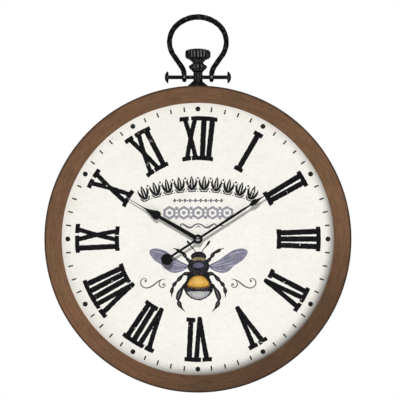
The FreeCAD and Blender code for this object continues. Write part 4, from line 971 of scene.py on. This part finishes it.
print_piece("dial_side_scrolls",
            [side_scroll, [np.column_stack([2 * AX - q[::-1, 0], q[::-1, 1]]) for q in side_scroll]],
            *LAYER[0], ink_material("plum_ink", srgb(98, 80, 88), srgb(150, 134, 138), 0.4, 420.0))

# ---------------------------------------------------------------- the bee
BX = 0.98                          # its axis


def both(pts):
    """The same points on the left, mirrored about the bee's axis."""
    return [(2 * BX - p[0],) + tuple(p[1:]) for p in pts]


def bee_art(h=0.2):
    return Art(-86, 90, -120, 2, h)


wing = smooth_line([(17.11, -43.67), (24.93, -39.27), (36.66, -33.08), (46.44, -25.58), (56.54, -18.74),
                    (66.65, -15.64), (76.10, -15.97), (80.99, -19.72), (79.03, -26.89), (72.19, -35.03),
                    (64.04, -40.25), (57.85, -44.16), (54.59, -48.07), (49.05, -52.96), (40.57, -55.40),
                    (31.78, -53.94), (23.63, -50.19), (17.76, -46.11)], True, 5)
art = bee_art()
art.poly([(p[0], p[1]) for p in wing])
art.poly([(2 * BX - p[0], p[1]) for p in wing])
art.F = art.F + 0.35 * (value_noise(art.X, art.Z, 1.6, 81) - 0.5)


def wing_material():
    w = Nodes("bee_wing_ink")
    src = w.map((1.0, 1.0, 1.0), (0.0, math.radians(-32), 0.0))
    n1 = w.noise(160.0, 4.0, 0.6, 0.5)
    st = w.noise(900.0, 3.0, 0.6, 0.3, w.map((0.12, 1.0, 1.0), (0, math.radians(30), 0)))
    x, y, z = w.xyz()
    col = w.mix(w.range(n1, 0.36, 0.66), srgb(119, 119, 138), srgb(147, 146, 162))
    col = w.mix(w.range(st, 0.50, 0.70, 0.0, 0.6), col, srgb(86, 86, 108))
    col = w.mix(w.range(st, 0.30, 0.42, 0.5, 0.0), col, srgb(184, 183, 194))
    w.p("Base Color", col)
    w.b.inputs["Roughness"].default_value = 0.62
    w.b.inputs["Specular IOR Level"].default_value = 0.18
    w.p("Normal", w.bump(n1, 0.1, 0.0002))
    return w.m


print_piece("bee_wings", [art.loops(0.03, 0.1)], *LAYER[0], wing_material())

VEINS = [
    [(18.74, -42.86, 0.75), (34.38, -34.71, 0.55), (53.94, -21.67, 0.5), (75.12, -17.11, 0.3)],
    [(18.74, -43.51, 0.5), (37.64, -36.99, 0.45), (57.20, -25.91, 0.38), (78.70, -21.67, 0.2)],
    [(18.74, -44.16, 0.45), (38.62, -40.90, 0.4), (58.82, -32.75, 0.32), (75.12, -29.17, 0.18)],
    [(18.74, -44.81, 0.45), (36.01, -44.49, 0.38), (53.94, -41.55, 0.3), (65.99, -37.32, 0.18)],
    [(19.39, -45.46, 0.45), (31.12, -48.07, 0.38), (47.42, -50.03, 0.2)],
    [(20.37, -46.44, 0.4), (27.86, -50.68, 0.34), (39.27, -53.28, 0.18)],
    [(48.40, -25.58, 0.3), (51.33, -30.80, 0.28), (50.03, -36.99, 0.2)],
    [(60.13, -20.37, 0.3), (63.06, -25.91, 0.28), (62.08, -32.10, 0.2)],
    [(68.60, -18.09, 0.28), (70.88, -23.63, 0.26), (69.25, -31.45, 0.18)],
    [(38.62, -36.99, 0.26), (40.25, -40.90, 0.24), (39.27, -44.49, 0.18)],
]
art = bee_art(0.16)
for q in VEINS:
    art.line(q)
    art.line(both(q))
print_piece("bee_wing_veins", [art.loops(0.02, 0.03)], *LAYER[1],
            ink_material("bee_vein_ink", srgb(84, 84, 108), srgb(124, 124, 146), 0.5, 420.0))
PALE = [
    [(20.37, -43.67, 0.35), (32.75, -39.60, 0.42), (45.14, -35.03, 0.15)],
    [(22.32, -44.32, 0.3), (34.38, -42.86, 0.4), (51.33, -38.29, 0.15)],
    [(50.68, -28.52, 0.2), (62.08, -22.49, 0.42), (74.47, -19.72, 0.15)],
    [(46.44, -43.83, 0.2), (53.94, -43.67, 0.36), (60.45, -40.41, 0.15)],
    [(24.61, -48.07, 0.3), (33.40, -50.84, 0.4), (43.83, -51.66, 0.15)],
]
art = bee_art(0.16)
for q in PALE:
    art.line(q)
    art.line(both(q))
print_piece("bee_wing_lights", [art.loops(0.02, 0.03)], *LAYER[2],
            ink_material("bee_light_ink", srgb(204, 203, 214), srgb(180, 179, 194), 0.4, 420.0))

# antennae and six jointed legs
LIMBS = [
    [(4.89, -23.30, 0.45), (8.64, -17.11, 0.42), (13.52, -11.57, 0.5), (15.81, -8.31, 0.95), (18.58, -4.07, 0.9)],
    [(15.48, -36.34, 1.5), (19.07, -32.92, 1.35), (20.69, -31.12, 0.7), (23.63, -26.56, 1.6), (26.56, -22.49, 0.9),
     (29.82, -21.02, 1.25), (34.38, -18.58, 1.35), (36.34, -17.11, 0.6), (41.88, -14.99, 0.3)],
    [(17.44, -56.87, 1.6), (22.32, -56.54, 1.5), (25.58, -57.68, 0.8), (32.43, -65.02, 1.6), (36.01, -68.93, 0.8),
     (40.57, -74.14, 1.55), (42.20, -77.40, 0.7), (44.49, -84.25, 1.6), (44.65, -88.48, 0.7), (44.97, -94.67, 0.25)],
    [(23.95, -75.77, 1.5), (27.54, -80.33, 1.2), (31.78, -88.16, 2.1), (34.22, -95.65, 1.9), (33.89, -99.89, 0.8),
     (32.43, -105.43, 1.85), (29.82, -110.64, 1.1), (26.89, -114.23, 0.55), (23.30, -117.81, 0.25)],
]
LIMBS = [[(p[0], p[1], p[2] * 1.8) for p in LIMBS[0]]] + [[(p[0], p[1], p[2] * 2.0) for p in q] for q in LIMBS[1:]]
art = bee_art(0.18)
for q in LIMBS:
    art.line(q, 6)
    art.line(both(q), 6)
art.disc((2 * BX - (18.58, -4.07)[0], (18.58, -4.07)[1]), 1.1)
spk = np.random.RandomState(5)
for q in LIMBS[1:]:
    for side in (q, both(q)):
        s = smooth_line(side, False, 5)
        for a in s[4:-8:2]:
            t = spk.uniform(0, 2 * math.pi)
            l = a[2] + spk.uniform(0.5, 1.1)
            art.seg((a[0], a[1]), (a[0] + l * math.cos(t), a[1] + l * math.sin(t)), 0.22, 0.08)
BEE_DARK = ink_material("bee_dark_ink", srgb(21, 20, 23), srgb(60, 58, 64), 0.35, 520.0)
print_piece("bee_legs", [art.loops(0.02, 0.05)], *LAYER[1], BEE_DARK)
art = bee_art(0.16)
for q in LIMBS[1:]:
    for side in (q, both(q)):
        for a in smooth_line(side, False, 6):
            if a[2] > 2.5:
                art.disc((a[0] - 0.2, a[1] + 0.2), (a[2] - 2.15) * 0.55)
art.F = art.F + 0.2 * (value_noise(art.X, art.Z, 0.9, 85) - 0.5)
print_piece("bee_leg_lights", [art.loops(0.02, 0.04)], *LAYER[2],
            ink_material("bee_leg_light", srgb(104, 102, 104), srgb(58, 56, 60), 0.7, 700.0))


def furry(art, centre, amp, seed, freq=16.0):
    """Edges broken into hairs that point away from the centre."""
    t = np.arctan2(art.X - centre[0], art.Z - centre[1])
    r = np.hypot(art.X - centre[0], art.Z - centre[1])
    k = value_noise(t * freq, r * 0.10, 1.0, seed) * 0.6 + value_noise(t * freq * 2.3, r * 0.22, 1.0, seed + 1) * 0.4
    art.F = art.F + amp * (k - 0.42)


def hairs(art, seed, count, spot, aim, length, width):
    rs = np.random.RandomState(seed)
    for _ in range(count):
        p = spot(rs)
        if p is None:
            continue
        t = aim(p, rs)
        l = rs.uniform(*length)
        q = (p[0] + l * math.sin(t), p[1] + l * math.cos(t))
        art.seg(p, q, width, 0.06)


# body silhouette: head, thorax, abdomen
ABDOMEN = [(-14.50, -52.96), (-17.92, -64.37), (-23.14, -75.45), (-21.67, -85.22), (-15.48, -93.21),
           (-7.66, -98.10), (0.98, -99.89), (9.61, -98.10), (17.44, -93.21), (23.63, -85.22),
           (25.09, -75.45), (19.88, -64.37), (16.46, -52.96)]
HEAD, THORAX, TAIL = (0.98, -28.52), (0.98, -44.49), (0.98, -77.08)
one = bee_art(0.18)
one.oval(HEAD, 12.6, 8.2)
furry(one, HEAD, 1.3, 301, 11.0)
two = bee_art(0.18)
two.oval(THORAX, 17.6, 15.8)
furry(two, THORAX, 2.0, 303, 13.0)
three = bee_art(0.18)
three.poly([(p[0], p[1]) for p in smooth_line(ABDOMEN, True, 5)])
furry(three, TAIL, 1.6, 305, 15.0)
three.F = np.minimum(np.minimum(one.F, two.F), three.F)
print_piece("bee_body", [three.loops(0.025, 0.08)], *LAYER[3], BEE_DARK)


def band(name, pts, seed, amp, layer, material, centre=None, smooth=True, least=0.08):
    a = bee_art(0.18)
    q = [(p[0], p[1]) for p in (smooth_line(pts, True, 5) if smooth else pts)]
    a.poly(q)
    c = centre or (sum(p[0] for p in q) / len(q), sum(p[1] for p in q) / len(q))
    furry(a, c, amp, seed, 14.0)
    return print_piece(name, [a.loops(0.025, least)], *LAYER[layer], material)


band("bee_band_brown", [(-17.76, -75.77), (-12.87, -65.02), (-6.36, -60.13), (0.98, -58.82), (8.31, -60.13),
                        (14.83, -65.02), (19.72, -75.77), (11.90, -79.52), (0.98, -80.99), (-9.94, -79.52)],
     311, 2.0, 4, ink_material("bee_brown_ink", srgb(132, 96, 44), srgb(72, 56, 40), 0.6, 420.0))
band("bee_band_gold", [(-15.48, -73.82), (-11.57, -66.32), (-5.70, -62.08), (0.98, -60.94), (7.66, -62.08),
                       (13.52, -66.32), (17.44, -73.82), (10.59, -76.75), (0.98, -77.73), (-8.64, -76.75)],
     313, 1.6, 5, ink_material("bee_gold_ink", srgb(216, 168, 74), srgb(184, 130, 56), 0.6, 300.0))
band("bee_band_light", [(-9.61, -70.88), (-5.05, -65.99), (0.98, -64.85), (7.01, -65.99), (11.57, -70.88),
                        (6.36, -73.49), (0.98, -73.98), (-4.40, -73.49)],
     315, 1.7, 6, ink_material("bee_light_gold", srgb(229, 188, 98), srgb(212, 164, 78), 0.6, 300.0))
band("bee_collar", [(-10.27, -33.08), (-6.68, -30.63), (0.98, -29.49), (8.64, -30.63), (12.22, -33.08),
                    (8.96, -35.03), (0.98, -34.38), (-7.01, -35.03)],
     317, 1.3, 4, ink_material("bee_collar_ink", srgb(150, 138, 86), srgb(86, 80, 54), 0.8, 420.0))
band("bee_back", [(-7.66, -42.53), (-4.40, -39.27), (0.98, -38.29), (6.36, -39.27), (9.61, -42.53),
                  (7.33, -46.11), (0.98, -47.58), (-5.38, -46.11)],
     319, 1.6, 4, ink_material("bee_back_ink", srgb(96, 96, 118), srgb(64, 64, 78), 0.8, 360.0))
band("bee_tail", [(-17.44, -86.20), (-8.64, -85.22), (0.98, -84.90), (10.59, -85.22), (19.39, -86.20),
                  (15.48, -91.74), (8.96, -95.98), (0.98, -97.61), (-7.01, -95.98), (-13.52, -91.74)],
     321, 1.4, 4, ink_material("bee_tail_ink", srgb(166, 167, 168), srgb(122, 123, 126), 0.7, 420.0))
band("bee_tail_light", [(-8.96, -87.83), (0.98, -86.85), (10.92, -87.83), (7.66, -92.72), (0.98, -94.35),
                        (-5.70, -92.72)],
     323, 1.5, 5, ink_material("bee_tail_light_ink", srgb(188, 189, 188), srgb(164, 165, 166), 0.6, 420.0))


def in_oval(c, a, b, inner=0.0):
    def spot(rs):
        t = rs.uniform(0, 2 * math.pi)
        k = math.sqrt(rs.uniform(inner * inner, 1.0))
        return (c[0] + a * k * math.sin(t), c[1] + b * k * math.cos(t))
    return spot


def outward(c, spread=0.35):
    def aim(p, rs):
        return math.atan2(p[0] - c[0], p[1] - c[1]) + rs.uniform(-spread, spread)
    return aim


art = bee_art(0.15)
hairs(art, 401, 150, in_oval(THORAX, 14.6, 13.2, 0.45), outward(THORAX), (1.4, 2.8), 0.2)
hairs(art, 402, 50, in_oval(HEAD, 9.4, 5.6, 0.3), outward(HEAD), (1.0, 1.8), 0.17)
hairs(art, 403, 70, in_oval((0.98, -80.99), 21.0, 2.6), lambda p, rs: math.pi + rs.uniform(-0.4, 0.4),
      (1.4, 2.6), 0.2)
print_piece("bee_fur_grey", [art.loops(0.02, 0.03)], *LAYER[5],
            ink_material("bee_fur_grey_ink", srgb(92, 90, 100), srgb(60, 58, 66), 0.6, 700.0))
art = bee_art(0.15)
hairs(art, 411, 60, in_oval((0.98, -69.25), 14.0, 6.4, 0.3), outward((0.98, -60.13), 0.3), (1.6, 3.2), 0.2)
hairs(art, 412, 26, in_oval((0.98, -91.09), 13.0, 4.4, 0.3), outward((0.98, -82.94), 0.3), (1.4, 2.6), 0.18)
print_piece("bee_fur_dark", [art.loops(0.02, 0.03)], *LAYER[7],
            ink_material("bee_fur_dark_ink", srgb(120, 92, 48), srgb(84, 66, 44), 0.6, 700.0))

# ---------------------------------------------------------------- age marks
def marks(seed, spots, h=0.15):
    rs = np.random.RandomState(seed)
    out = []
    for x, z, r in spots:
        a = Art(x - r * 2 - 1, x + r * 2 + 1, z - r * 2 - 1, z + r * 2 + 1, max(0.1, min(h, r * 0.28)))
        a.oval((x, z), r, r * rs.uniform(0.55, 1.0), rs.uniform(0, 180))
        a.F += r * 1.1 * (value_noise(a.X, a.Z, r * 0.9, int(rs.randint(1, 9999))) - 0.45)
        out += a.loops(0.02, 0.015)
    return out


rs = np.random.RandomState(77)
pale, deep = [], []
for _ in range(230):
    r, t = 214.0 * math.sqrt(rs.uniform(0.0, 1.0)), rs.uniform(0, 2 * math.pi)
    pale.append((r * math.sin(t), r * math.cos(t), rs.uniform(0.35, 0.95)))
for cx, cz, n, spread, size in ((132.97, 182.67, 9, 4.2, 0.8), (-139.16, 166.37, 8, 3.4, 0.8),
                                (124.00, 141.93, 5, 3.2, 0.6), (174.52, -131.83, 6, 2.6, 0.7),
                                (59.64, -204.34, 6, 2.4, 0.8), (-143.23, 19.72, 4, 3, 0.6),
                                (-93.53, -177.45, 4, 3.6, 0.6), (-43.83, 212.00, 4, 3.2, 0.6)):
    for _ in range(int(n)):
        deep.append((cx + rs.normal(0, spread), cz + rs.normal(0, spread), rs.uniform(0.25, size)))
for _ in range(46):
    r, t = 216.0 * math.sqrt(rs.uniform(0.0, 1.0)), rs.uniform(0, 2 * math.pi)
    deep.append((r * math.sin(t), r * math.cos(t), rs.uniform(0.2, 0.5)))
pale = [p for p in pale if math.hypot(p[0], p[1]) > 14 and math.hypot(p[0], p[1]) < 217]
deep = [p for p in deep if math.hypot(p[0], p[1]) > 14 and math.hypot(p[0], p[1]) < 217]
MARK_TOP = FACE - 0.012
print_piece("dial_pale_marks", [[q] for q in marks(501, pale)], MARK_TOP, FACE + 0.004,
            ink_material("pale_mark", srgb(221, 216, 206), srgb(232, 228, 220), 0.6, 700.0))
print_piece("dial_age_marks", [[q] for q in marks(502, deep)], MARK_TOP - 0.01, FACE + 0.004,
            ink_material("age_mark", srgb(150, 142, 134), srgb(196, 190, 182), 0.7, 900.0))

# ---------------------------------------------------------------- iron castings
def cloud(name, size, kind="CLOUDS"):
    t = bpy.data.textures.new(name, kind)
    if kind == "CLOUDS":
        t.noise_scale = size
        t.noise_depth = 2
    else:
        t.noise_scale = size
        t.distance_metric = "DISTANCE"
    return t


def bow_path():
    """Centre line of the bow, (x, height above the dial's centre), from one eye
    over the top to the other."""
    s40, c40 = math.sin(math.radians(40)), math.cos(math.radians(40))
    top_r, side_r, leg_r, top_z = 51.0, 37.8, 27.7, 362.0
    c1 = (0.0, top_z - top_r)
    j1 = (top_r * s40, c1[1] + top_r * c40)
    c2 = (j1[0] - side_r * s40, j1[1] - side_r * c40)
    a2 = math.radians(125.0)
    j2 = (c2[0] + side_r * math.sin(a2), c2[1] + side_r * math.cos(a2))
    c3 = (22.2 + leg_r, 266.0)
    turn = math.radians(35.0)
    j3 = (c3[0] - leg_r * math.cos(turn), c3[1] + leg_r * math.sin(turn))
    lo_a = math.asin((268.4 - c3[1]) / leg_r)
    half = []
    for i in range(41):
        a = math.radians(40.0) * i / 40
        half.append((top_r * math.sin(a), c1[1] + top_r * math.cos(a)))
    for i in range(1, 61):
        a = math.radians(40.0) + (a2 - math.radians(40.0)) * i / 60
        half.append((c2[0] + side_r * math.sin(a), c2[1] + side_r * math.cos(a)))
    for i in range(1, 21):
        t = i / 20
        half.append((j2[0] + (j3[0] - j2[0]) * t, j2[1] + (j3[1] - j2[1]) * t))
    for i in range(1, 21):
        a = turn + (lo_a - turn) * i / 20
        half.append((c3[0] - leg_r * math.cos(a), c3[1] + leg_r * math.sin(a)))
    left = [(-x, z) for x, z in reversed(half)]
    return left[:-1] + half


def resample(pts, step):
    p = np.array(pts)
    d = np.r_[0, np.cumsum(np.hypot(*np.diff(p, axis=0).T))]
    n = int(d[-1] / step)
    s = np.linspace(0, d[-1], n + 1)
    return np.column_stack([np.interp(s, d, p[:, 0]), np.interp(s, d, p[:, 1])]), s


def eye_mesh(cx, cz, verts, faces):
    """A rounded knuckle round the crossbar, open through its bore."""
    R, a, B = 8.1, 4.05, 3.36
    prof = []
    for i in range(17):
        x = -3.86 + 7.72 * i / 16
        r = R * (1.0 - (abs(x) / a) ** 2.5) ** (1 / 2.5)
        prof.append((max(r, B + 0.5), x))
    prof += [(B, 3.4), (B, -3.4)]
    m, cnt, base = len(prof), 72, len(verts)
    for i in range(cnt):
        t = 2 * math.pi * i / cnt
        for r, x in prof:
            verts.append(((cx + x) / 1000.0, TOPY + r * math.sin(t) / 1000.0,
                          FZ + (cz + r * math.cos(t)) / 1000.0))
    for i in range(cnt):
        i2 = (i + 1) % cnt
        for j in range(m):
            j2 = (j + 1) % m
            faces.append((base + i * m + j, base + i * m + j2, base + i2 * m + j2, base + i2 * m + j))


def forged_bow():
    pts, s = resample(bow_path(), 0.7)
    cnt = 48
    T = np.gradient(pts, axis=0)
    T /= np.hypot(T[:, 0], T[:, 1])[:, None]
    total, n = s[-1], len(pts)
    a = (2 * np.pi * np.arange(cnt) / cnt)[None, :]
    d = s[:, None]
    up = np.clip((pts[:, 1] - (311.0 + 51.0 * math.cos(math.radians(40)))) / (51.0 * (1 - math.cos(math.radians(40)))), 0, 1)
    side = np.clip((pts[:, 1] - 330.0) / 20.0, 0, 1)
    nominal = (4.52 + 0.18 * side + 0.23 * up)[:, None]
    # square bar twisted along its length, its corners beaten down
    w = a - 2 * np.pi * d / 58.0
    corner = 0.5 - 0.5 * np.cos(4 * w)
    ca, sa = np.cos(a), np.sin(a)
    dents = (value_noise(d + 60 * ca, d * 0.31 + 7.0 * sa + 11.0 * ca, 5.0, 601)
             + value_noise(d * 1.0 + 3.0 * sa, 5.0 * ca + 4.0 * sa + 0.0 * d, 3.0, 603)) * 0.5
    fine = value_noise(d * 1.7 + 6 * sa, 7 * ca + 0 * d, 1.8, 602)
    ends = np.clip(np.minimum(d / 12.0, (total - d) / 12.0), 0, 1)
    r = nominal - ends * 0.26 * corner - 0.34 * np.clip(dents - 0.25, 0, 1) - 0.10 * fine
    nx, nz = -T[:, 1][:, None], T[:, 0][:, None]
    X = (pts[:, 0][:, None] + nx * r * ca) / 1000.0
    Y = TOPY + r * sa / 1000.0
    Z = FZ + (pts[:, 1][:, None] + nz * r * ca) / 1000.0
    verts = [tuple(v) for v in np.stack([X, Y, Z], axis=-1).reshape(-1, 3).tolist()]
    faces = []
    for i in range(n - 1):
        for k in range(cnt):
            k2 = (k + 1) % cnt
            faces.append((i * cnt + k, (i + 1) * cnt + k, (i + 1) * cnt + k2, i * cnt + k2))
    faces.append(tuple(range(cnt)))
    faces.append(tuple(reversed(range((n - 1) * cnt, n * cnt))))
    for sx in (-1, 1):
        eye_mesh(sx * 22.2, 263.7, verts, faces)
    return verts, faces


v, f = forged_bow()
# painted highlights at the bow's two eyes
bow_iron = iron_material("bow_iron", 0, [(sx * 0.0222, TOPY - 0.0081, FZ + 0.2637, 0.0030) for sx in (-1, 1)])
bow = piece("bow_forged", v, f, bow_iron, "bow_loop", "black_iron", True)
m = bow.modifiers.new("forge", "REMESH")
m.mode = "VOXEL"
m.voxel_size = 0.00036
m.use_smooth_shade = True
m = bow.modifiers.new("soften", "SMOOTH")
m.factor = 0.5
m.iterations = 2
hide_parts("bow")

# The other castings keep their shape; their edges are softened and their skin
# is slightly hammered.
hammer = cloud("hammer", 0.0042)
grit = cloud("grit", 0.0012)
for n, vox, depth, mid, ridges in (
        ("stem_post", 0.00032, 0.00040, 0.60, 12), ("stem_collar", 0.00032, 0.00040, 0.60, 14),
        ("crown", 0.00034, 0.00045, 0.60, 24), ("crossbar", 0.00030, 0.00022, 1.0, 0),
        ("crossbar_caps", 0.0003, 0.00040, 0.60, 0)):
    o = NODES[n]
    # painted highlights on the crossbar's caps
    painted_glints = [(sx * 0.0541, TOPY - 0.003, FZ + 0.2637, 0.003) for sx in (-1, 1)] if n == "crossbar_caps" else None
    if ridges or painted_glints:
        o.data.materials.clear()
        # where the ribs carry painted highlights, and the highlights' colour
        highlight_bands = {"stem_post": ((0.2595, 0.2725, 0.0080),),
                 "stem_collar": ((0.2735, 0.2775, 0.0075), (0.2785, 0.2870, 0.0085)),
                 "crown": ((0.2855, 0.2940, 0.0085), (0.2965, 0.3085, 0.0165))}.get(n, ())
        shine = {"crown": srgb(156, 156, 160), "stem_collar": srgb(136, 136, 140)}.get(n, srgb(108, 108, 112))
        o.data.materials.append(iron_material(n + "_iron", ridges, painted_glints, highlight_bands, shine))
    m = o.modifiers.new("join", "WELD")
    m.merge_threshold = 0.000002
    m = o.modifiers.new("cast", "REMESH")
    m.mode = "VOXEL"
    m.voxel_size = vox
    m.use_smooth_shade = True
    m = o.modifiers.new("soften", "SMOOTH")
    m.factor = 0.5
    m.iterations = 2
    m = o.modifiers.new("hammer", "DISPLACE")
    m.texture = hammer
    m.texture_coords = "LOCAL"
    m.strength = depth
    m.mid_level = mid
    m = o.modifiers.new("grit", "DISPLACE")
    m.texture = grit
    m.texture_coords = "LOCAL"
    m.strength = depth * 0.3
    m.mid_level = mid

# ---------------------------------------------------------------- light, floor
world = bpy.data.worlds.new("world")
scene.world = world
world.use_nodes = True
wt = world.node_tree
wt.nodes.clear()
wo = wt.nodes.new("ShaderNodeOutputWorld")
b_cam = wt.nodes.new("ShaderNodeBackground")
b_cam.inputs[0].default_value = (1.0, 1.0, 1.0, 1.0)
b_cam.inputs[1].default_value = 1.0
b_env = wt.nodes.new("ShaderNodeBackground")
b_env.inputs[0].default_value = (1.0, 1.0, 1.0, 1.0)
b_env.inputs[1].default_value = 0.088
lp = wt.nodes.new("ShaderNodeLightPath")
mx = wt.nodes.new("ShaderNodeMixShader")
wt.links.new(lp.outputs["Is Camera Ray"], mx.inputs[0])
wt.links.new(b_env.outputs[0], mx.inputs[1])
wt.links.new(b_cam.outputs[0], mx.inputs[2])
wt.links.new(mx.outputs[0], wo.inputs[0])


def area(name, where, size, power, target=(0.0, -0.03, FZ), colour=(1, 1, 1)):
    d = bpy.data.lights.new(name, "AREA")
    d.shape = "DISK"
    d.size = size
    d.energy = power
    d.color = colour
    o = bpy.data.objects.new(name, d)
    scene.collection.objects.link(o)
    o.location = where
    o.rotation_euler = (Vector(target) - Vector(where)).to_track_quat("-Z", "Y").to_euler()
    return o


key = area("key", (-1.68, -10.92, FZ + 11.55), 0.85, 2360.0)
fill_l = area("fill_low_right", (1.62, -2.45, FZ - 1.87), 0.9, 17.5)
# lights the back of the clock; square to it, so that it doesn't reach the front
rear = area("rear", (0.8, 4.6, FZ + 1.1), 1.2, 130.0)
# light the ring's outer side, from just behind the plane of its face
wooden = bpy.data.collections.new("side_lit")
for n in ("frame_ring", "rear_hoop", "dial_board", "movement_case", "movement_cover", "setting_knob"):
    wooden.objects.link(NODES[n])
for sx in (-1, 1):
    side = area("side_%s" % ("left" if sx < 0 else "right"), (sx * 4.5, 0.9, FZ - 0.7), 1.2, 125.0)
    side.light_linking.receiver_collection = wooden
# the key light's shadow is only thrown by the hands and the top hardware
blockers = bpy.data.collections.new("key_blockers")
for n in ("hour_hand", "minute_hand", "cap_nut", "crossbar", "stem_post", "crown", "stem_collar"):
    blockers.objects.link(NODES[n])
key.light_linking.blocker_collection = blockers
# the low light's shadow is only thrown by the ring's edge
ring_only = bpy.data.collections.new("low_blockers")
ring_only.objects.link(NODES["frame_ring"])
fill_l.light_linking.blocker_collection = ring_only

me = bpy.data.meshes.new("floor")
R = 3.0
ringv = [(R * math.cos(2 * math.pi * i / 96), R * math.sin(2 * math.pi * i / 96), -0.86) for i in range(96)]
me.from_pydata(ringv, [], [tuple(range(96))])
floor = bpy.data.objects.new("floor", me)
scene.collection.objects.link(floor)
fm = Nodes("floor_paint")
fm.p("Base Color", fm.mix(fm.range(fm.noise(3.0, 3.0), 0.3, 0.7), srgb(238, 237, 235), srgb(232, 231, 229)))
fm.b.inputs["Roughness"].default_value = 0.8
me.materials.append(fm.m)
